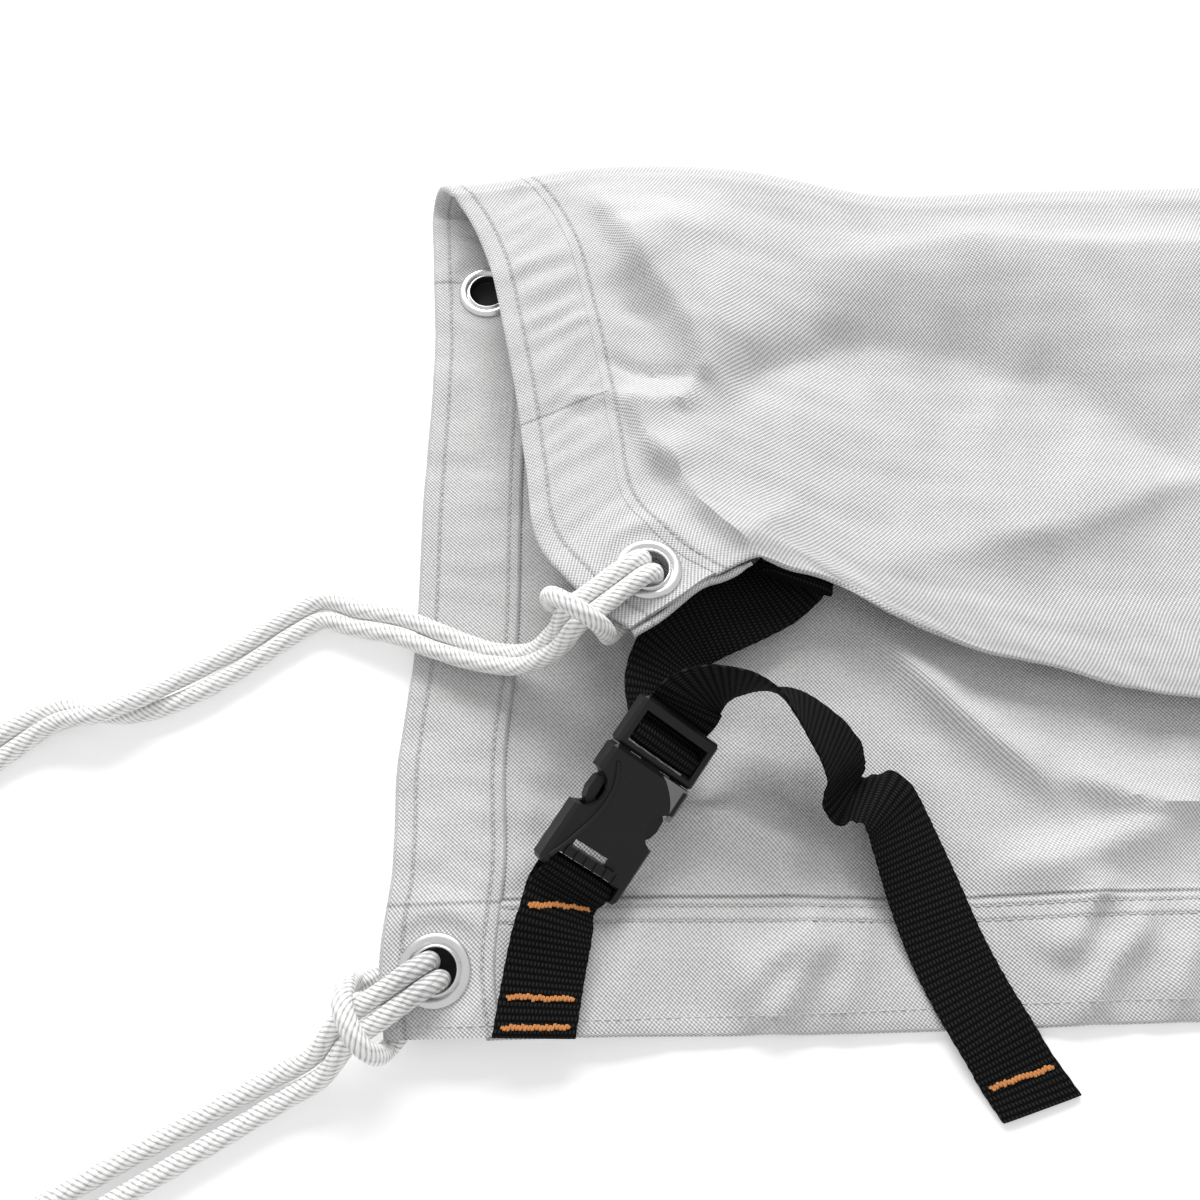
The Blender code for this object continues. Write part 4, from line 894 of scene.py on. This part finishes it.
eyeletRing = {
    "around": 72, "barrel": (12, 17),
    "profile": [  # radius, height over the strip's upper face
        (10.7, 0.05), (11.0, 0.20), (11.05, 0.45), (10.8, 0.80), (10.2, 1.12), (9.4, 1.30), (8.6, 1.18), (8.0, 0.80),
        (7.75, 0.62), (7.55, 0.80), (7.35, 1.08), (7.05, 1.20), (6.78, 1.08), (6.62, 0.80), (6.60, 0.30), (6.60, -2.40),
        (6.65, -2.90), (6.9, -3.15), (7.3, -3.20), (8.4, -3.10), (9.6, -3.05), (10.1, -2.95), (10.2, -2.75),
        (10.1, -2.55), (7.2, -2.50), (7.15, -1.20), (7.2, 0.02)],
}
addEyelet("eyelet_ground", "groundEyelet", eyeletRing)
addEyelet("eyelet_centre", "centreEyelet", eyeletRing)
addEyelet("eyelet_flap", "flapEyelet", eyeletRing)
print("eyelets made")


# buckle place

buckle = {"place": (-8.2, -96.3, 14.3), "yaw": 35.0, "pitch": 10.5, "roll": 32.0}


def buckleAxes():  # across, along and out of the buckle's face
    yaw, pitch, roll = (math.radians(buckle[name]) for name in ("yaw", "pitch", "roll"))
    along = np.array([math.sin(yaw) * math.cos(pitch), math.cos(yaw) * math.cos(pitch), math.sin(pitch)])
    level = np.array([math.cos(yaw), -math.sin(yaw), 0.0])
    face = np.cross(level, along)
    across = level * math.cos(roll) - face * math.sin(roll)
    return across, along, np.cross(across, along)


across, along, outOfFace = buckleAxes()
buckleOrigin = np.array(buckle["place"]) * mm


def onBuckle(points):  # (across, along, height) in mm to the row frame
    points = np.asarray(points, float) * mm
    return buckleOrigin + points[..., :1] * across + points[..., 1:2] * along + points[..., 2:] * outOfFace


# straps

straps = {
    "width": 0.0245, "ply": 0.0013, "step": 0.00046, "across": 13, "relief": 0.00011, "doubling": (0.0011, 0.0004),
    "waver": (0.006, 0.0046), "stubSkew": -0.14, "stubStartSkew": 0.14, "startSkewLength": 0.020,
    "stubRoute": [(-19.6, -141.6, 0.0, 0.99, -0.14, 0.0), (-18.0, -131.5, 0.2, 0.98, -0.17, 0.0),
                  (-16.1, -120.5, 1.6, 0.96, -0.24, -0.08), (-13.8, -110.0, 4.6, 0.91, -0.33, -0.25)],
    "stubLoop": [(-4.6, -2.2), (0.2, -2.5), (2.6, -2.3), (4.0, -1.2), (4.3, 0.0), (4.0, 1.2), (2.6, 2.3), (0.2, 2.5),
                 (-4.6, 0.3)],
    "start": [  # x y z and the direction across, as in stubRoute and tail
        (65.6, -0.8, 17.4, 0.94, -0.33, -0.14), (66.8, 4.2, 15.2, 0.93, -0.36, -0.12),
        (68.0, 7.6, 12.2, 0.88, -0.46, -0.08), (65.8, 5.0, 10.0, 0.84, -0.54, -0.04),
        (62.4, 1.8, 9.2, 0.79, -0.61, -0.04), (58.4, -1.4, 9.0, 0.71, -0.70, -0.04),
        (53.6, -4.2, 9.6, 0.62, -0.78, -0.06), (48.4, -7.0, 10.6, 0.54, -0.83, -0.10),
        (43.0, -9.8, 12.0, 0.50, -0.85, -0.18), (36.4, -13.2, 13.4, 0.53, -0.80, -0.30),
        (27.8, -19.0, 15.0, 0.70, -0.58, -0.42), (21.2, -27.4, 16.4, 0.86, -0.28, -0.43),
        (18.8, -36.2, 17.6, 0.89, -0.09, -0.45), (19.4, -44.6, 18.6, 0.87, -0.06, -0.49),
        (19.6, -50.0, 19.1, 0.82, -0.22, -0.53)],
    "ladder": [(50.2, -4.6), (48.4, -3.6), (46.2, -1.9), (45.9, 0.4), (47.0, 2.3), (49.0, 2.9), (51.2, 2.2),
               (52.5, 0.4), (53.4, -1.4), (55.4, -2.4), (58.5, -2.5), (61.5, -1.7)],
    "tail": [
        (29.6, -42.2, 28.0, 0.66, -0.34, -0.67), (34.8, -40.0, 30.4, 0.54, -0.25, -0.80),
        (40.4, -39.0, 31.4, 0.40, -0.12, -0.91), (46.6, -39.2, 31.6, 0.31, -0.02, -0.95),
        (54.0, -41.0, 31.0, 0.18, 0.22, -0.96), (59.4, -43.8, 29.8, 0.25, 0.44, -0.86),
        (64.4, -47.4, 28.0, 0.33, 0.55, -0.77), (69.0, -51.8, 25.8, 0.41, 0.60, -0.69),
        (73.2, -56.4, 23.0, 0.52, 0.57, -0.63), (76.0, -60.8, 19.4, 0.60, 0.47, -0.65),
        (77.0, -64.4, 15.0, 0.65, 0.42, -0.63), (78.0, -67.8, 11.2, 0.71, 0.42, -0.55),
        (80.4, -70.4, 9.4, 0.74, 0.50, -0.44), (83.8, -70.8, 11.0, 0.69, 0.63, -0.34),
        (87.2, -71.2, 13.2, 0.68, 0.65, -0.32), (90.6, -73.8, 12.8, 0.72, 0.60, -0.33),
        (93.4, -78.0, 10.4, 0.78, 0.52, -0.32), (96.2, -85.0, 8.4, 0.83, 0.47, -0.26),
        (101.4, -99.6, 5.4, 0.86, 0.49, -0.08), (107.6, -117.0, 3.7, 0.88, 0.47, 0.0),
        (115.2, -133.6, 3.6, 0.90, 0.43, 0.0), (120.0, -142.4, 3.3, 0.90, 0.44, 0.0),
        (124.8, -150.8, 1.7, 0.88, 0.48, 0.0), (131.6, -161.4, 1.0, 0.86, 0.50, 0.0)],
    "tipSkew": 0.27, "tipSkewLength": 0.030, "stubReach": 12.0, "stubLift": 3.35, "plyGap": (1.6, 0.3),
}


def ladderRows(rows):  # (along, height) on the buckle to six-number stations
    return [tuple(onBuckle([0.0, a, h]) / mm) + tuple(across) for a, h in rows]


def stubRows():  # under ply, loop and over ply
    under, over, reach = [], [], straps["stubReach"]
    for i, (x, y, z, wx, wy, wz) in enumerate(straps["stubRoute"]):
        edges = [float(groundHeight((x + k * wx) * mm, (y + k * wy) * mm)) / mm for k in (-reach, reach)]
        base = sum(edges) / 2 + z + straps["stubLift"]
        tilt = wz + (edges[1] - edges[0]) / (2 * reach)
        under.append((x, y, base, wx, wy, tilt))
        over.append((x, y, base + straps["plyGap"][0] * (1.0 + straps["plyGap"][1] * i), wx, wy, tilt))
    return under + ladderRows(straps["stubLoop"]) + over[::-1]


def bandLine(stations, skew, startSkew=0.0):  # lengths, path, side and face every step along the band
    table = np.array(stations)
    centres = table[:, :3] * mm
    knots = travelled(centres)
    s = np.linspace(0.0, knots[-1], int(knots[-1] / straps["step"]) + 1)
    path = smoothCurve(knots, centres, s)
    forward, side, face = framesAlong(path, smoothCurve(knots, table[:, 3:], s))
    lean = skew * ease(s, knots[-1] - straps["tipSkewLength"], knots[-1])
    lean = lean + startSkew * (1.0 - ease(s, 0.0, straps["startSkewLength"]))
    return s, path, side + forward * lean[:, None], face


def addBand(name, node, line, doubled=()):  # rounded strip with weft ribs; doubled: from, to on its lower side
    s, path, side, face = line
    half = straps["width"] / 2
    w = np.linspace(-1.0, 1.0, straps["across"])
    ridge = straps["relief"] * np.abs(np.sin(math.pi * s / rib["pitch"]))
    up = np.full(len(s), straps["ply"] / 2)
    down = up + sum(straps["doubling"][0] * window(s, start, end, straps["doubling"][1]) for start, end in doubled)
    edge = 1.0 - 0.55 * np.abs(w) ** 8
    waver = half * (1.0 + straps["waver"][0] * np.sin(s * 2 * math.pi / straps["waver"][1]))
    flat = path[:, None] + side[:, None] * (waver[:, None] * w)[..., None]
    top = flat + face[:, None] * ((up + ridge)[:, None] * edge)[..., None]
    low = flat - face[:, None] * ((down + ridge)[:, None] * edge)[..., None]
    ring = np.concatenate([top, low[:, ::-1]], axis=1)
    place = np.concatenate([w, w[::-1]]) * half
    uv = np.stack(np.broadcast_arrays(s[:, None], place[None, :]), axis=-1).reshape(-1, 2)
    item = dress(addMesh(name, ring, cappedFaces(*ring.shape[:2]), uv), webbing)
    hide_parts(node)


stubLine = bandLine(stubRows(), straps["stubSkew"], straps["stubStartSkew"])
longLine = bandLine(straps["start"] + ladderRows(straps["ladder"]) + straps["tail"], straps["tipSkew"])
longEnd, stubEnd = longLine[0][-1], stubLine[0][-1]
addBand("strapStub", "strap_stub", stubLine)
addBand("strapLong", "strap_long", longLine, [(-0.001, 0.009), (longEnd - 0.016, longEnd + 0.001)])
print("straps made")


def addTack(name, line, at, settings):  # zigzag of thread across a band
    s, path, side, face = line
    t = np.linspace(-1.0, 1.0, settings["turns"] * 6 + 1)
    dice = np.random.default_rng(settings["seed"])
    swing = np.arcsin(np.sin(t * settings["turns"] * math.pi)) / (math.pi / 2)
    ragged = np.interp(t, np.linspace(-1, 1, 24), dice.uniform(-0.4, 0.4, 24))
    along = at + (swing + ragged) * settings["halfLength"] - t * settings["skew"]
    here = np.clip(np.interp(along, s, np.arange(len(s))).round().astype(int), 0, len(s) - 1)
    wide = t * straps["width"] / 2 * settings["share"]
    centre = np.stack([np.interp(along, s, path[:, k]) for k in range(3)], axis=-1)
    points = centre + side[here] * wide[:, None] + face[here] * (straps["ply"] / 2 + settings["above"])
    dress(tube(name, points, settings["thread"], 6), orangeThread)


tack = {
    "turns": 17, "halfLength": 0.00095, "share": 0.81, "thread": 0.00040, "above": 0.00022, "seed": 4, "skew": 0.0003}
addTack("stubTackLow", stubLine, stubEnd - 0.0032, tack)
addTack("stubTackMiddle", stubLine, stubEnd - 0.0115, dict(tack, seed=5))
addTack("stubTackTop", stubLine, stubEnd - 0.0385, dict(tack, seed=6, skew=0.0030))
addTack("tipTack", longLine, longEnd - 0.0105, dict(tack, seed=7, skew=-0.0008))
print("tacks made")


# buckle

rounding = {"width": 0.0003, "segments": 2, "limit_method": "ANGLE", "angle_limit": math.radians(40)}


def roundNode(name):  # CAD node with rounded edges and a better finish
    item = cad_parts[name]
    for entry in item.material_slots:
        entry.material = moulded
    bevel = item.modifiers.new("rounded", "BEVEL")
    for setting, value in rounding.items():
        setattr(bevel, setting, value)
    bevel.use_clamp_overlap = True
    item.data.shade_smooth()
    item.data.set_sharp_from_angle(angle=math.radians(35))


roundNode("buckle_socket")
roundNode("buckle_plug")


def addRidge(name, points, radius):  # thin rounded line on the buckle's face
    table = np.array(points, float)
    knots = travelled(table)
    path = onBuckle(smoothCurve(knots, table, np.linspace(0.0, knots[-1], 60)))
    dress(tube(name, path, radius, 10), moulded)


addRidge("leftRidge", [
    (-13.2, 3.0, 3.7), (-11.2, 8.0, 4.05), (-9.6, 13.0, 4.05), (-8.4, 17.0, 4.05), (-7.6, 21.0, 4.05),
    (-7.3, 26.0, 4.05), (-8.0, 31.0, 4.05), (-9.6, 34.5, 4.0), (-11.6, 37.5, 3.9)], 0.0008)
for place in np.linspace(-9.6, 9.6, 6):
    addRidge("gripRib", [(place, 5.5, 3.8), (place, 6.4, 4.2), (place, 7.6, 4.2), (place, 8.8, 4.0)], 0.00045)

facet = {"along": (30.6, 41.6), "inner": (13.2, 4.0), "outer": 14.9, "top": 3.9, "low": 3.6, "height": 0.22,
         "fall": 0.5, "fallFrom": (11.5, 16.0), "rim": (12.0, 0.15)}


def addPatch(name, settings, finish):  # thin raised plate between a curved inner edge and a straight outer one
    start, end = settings["along"]
    l, t = np.meshgrid(np.linspace(start, end, 25), np.linspace(0.0, 1.0, 15), indexing="ij")
    share = (l - start) / (end - start)
    inner = settings["inner"][0] + (settings["inner"][1] - settings["inner"][0]) * share**2
    w = inner + (settings["outer"] - inner) * t
    fromEdge = np.minimum(np.minimum(t, 1 - t), np.minimum(share, 1 - share))
    rise = settings["height"] * np.minimum(1.0, settings["rim"][0] * fromEdge + settings["rim"][1])
    fall = settings["fall"] * ease(w, *settings["fallFrom"])
    levels = settings["top"] + rise, settings["low"]
    top, low = (onBuckle(np.stack([w, l, level - fall], axis=-1)) for level in levels)
    dress(clothShell(name, top, low, np.stack([w, l], axis=-1), None, 2), finish)


# the facet carries the painted reflection on the socket's right shoulder, near its mouth
addPatch("mouthFacet", facet, reflectionPlastic)
print("buckle made")


# seam stitches

def addStitches(name, settings):  # short sunk threads along lines of the cover's grid
    places, directions, normals = [], [], []
    for start, end, face in settings["lines"]:
        start, end = np.array(start), np.array(end)
        length = np.linalg.norm(end - start)
        count = max(2, int(length / settings["pitch"]))
        t = (np.arange(count) + 0.5) / count
        girth, u = (start + (end - start) * t[:, None]).T
        step = (end - start) / length * settings["probe"]
        normal = normalOf(flattened, girth, u)
        onStrip = start[1] < settings["stripTo"] and end[1] < settings["stripTo"]
        depth = np.broadcast_to(cover["stripPly"] if onStrip else coverPly(girth, u), girth.shape)
        sink = depth * (face == "inner")
        places.append(coverSurface(girth, u) - normal * sink[:, None])
        directions.append(unit(coverSurface(girth + step[0], u + step[1]) - coverSurface(girth - step[0], u - step[1])))
        normals.append(normal * (-1.0 if face == "inner" else 1.0))
    place, direction, normal = (np.concatenate(rows)[:, None] for rows in (places, directions, normals))
    side = unit(np.cross(normal, direction))
    normal = np.cross(direction, side)
    along, height, thick = np.array(settings["bend"]).T[..., None]
    turn = np.linspace(0.0, 2 * math.pi, settings["around"], endpoint=False)
    thread = thick * settings["thread"]
    local = np.stack(np.broadcast_arrays(along * settings["half"], thread * np.cos(turn),
                                         height * mm + thread * np.sin(turn)), axis=-1).reshape(-1, 3)
    points = place + local[:, :1] * direction + local[:, 1:2] * side + local[:, 2:] * normal
    shift = np.arange(len(place))[:, None] * len(local)
    quads = ringFaces(len(thick), len(turn)).reshape(-1, 4)
    faces = (quads[None] + shift[..., None]).reshape(-1, 4).tolist()
    for cap in (np.arange(len(turn))[::-1], np.arange(len(local) - len(turn), len(local))):
        faces += (cap + shift).tolist()
    dress(addMesh(name, points, faces), whiteThread)


flapEdge, farEdge = girthAll - 0.004, coverLength - 0.004
stitches = {
    "pitch": 0.0031, "half": 0.00115, "thread": 0.00020, "around": 6, "probe": 0.0008, "stripTo": 0.036,
    "bend": [  # along, height, thickness
        (-1.0, -0.34, 0.5), (-0.7, 0.02, 1.0), (0.0, 0.16, 1.05), (0.7, 0.02, 1.0), (1.0, -0.34, 0.5)],
    "lines": [  # (girth, along) from, to, and which face of the cloth
        *(((0.004, place), (groundGirth, place), "inner") for place in (outerSeam, groundSeam)),
        ((flapStart, outerSeam), (flapEdge, outerSeam), "outer"),
        ((flapStart + 0.002, flapSeam), (flapEdge, flapSeam), "outer"),
        ((0.0045, 0.003), (0.0045, 0.034), "inner"), ((0.0045, 0.037), (0.0075, 0.190), "inner"),
        ((0.0075, 0.190), (0.0060, farEdge), "inner"),
        *(((place, 0.037), (place, farEdge), "inner") for place in cover["hemSeams"])],
}
addStitches("seamStitches", stitches)
print("stitches made")
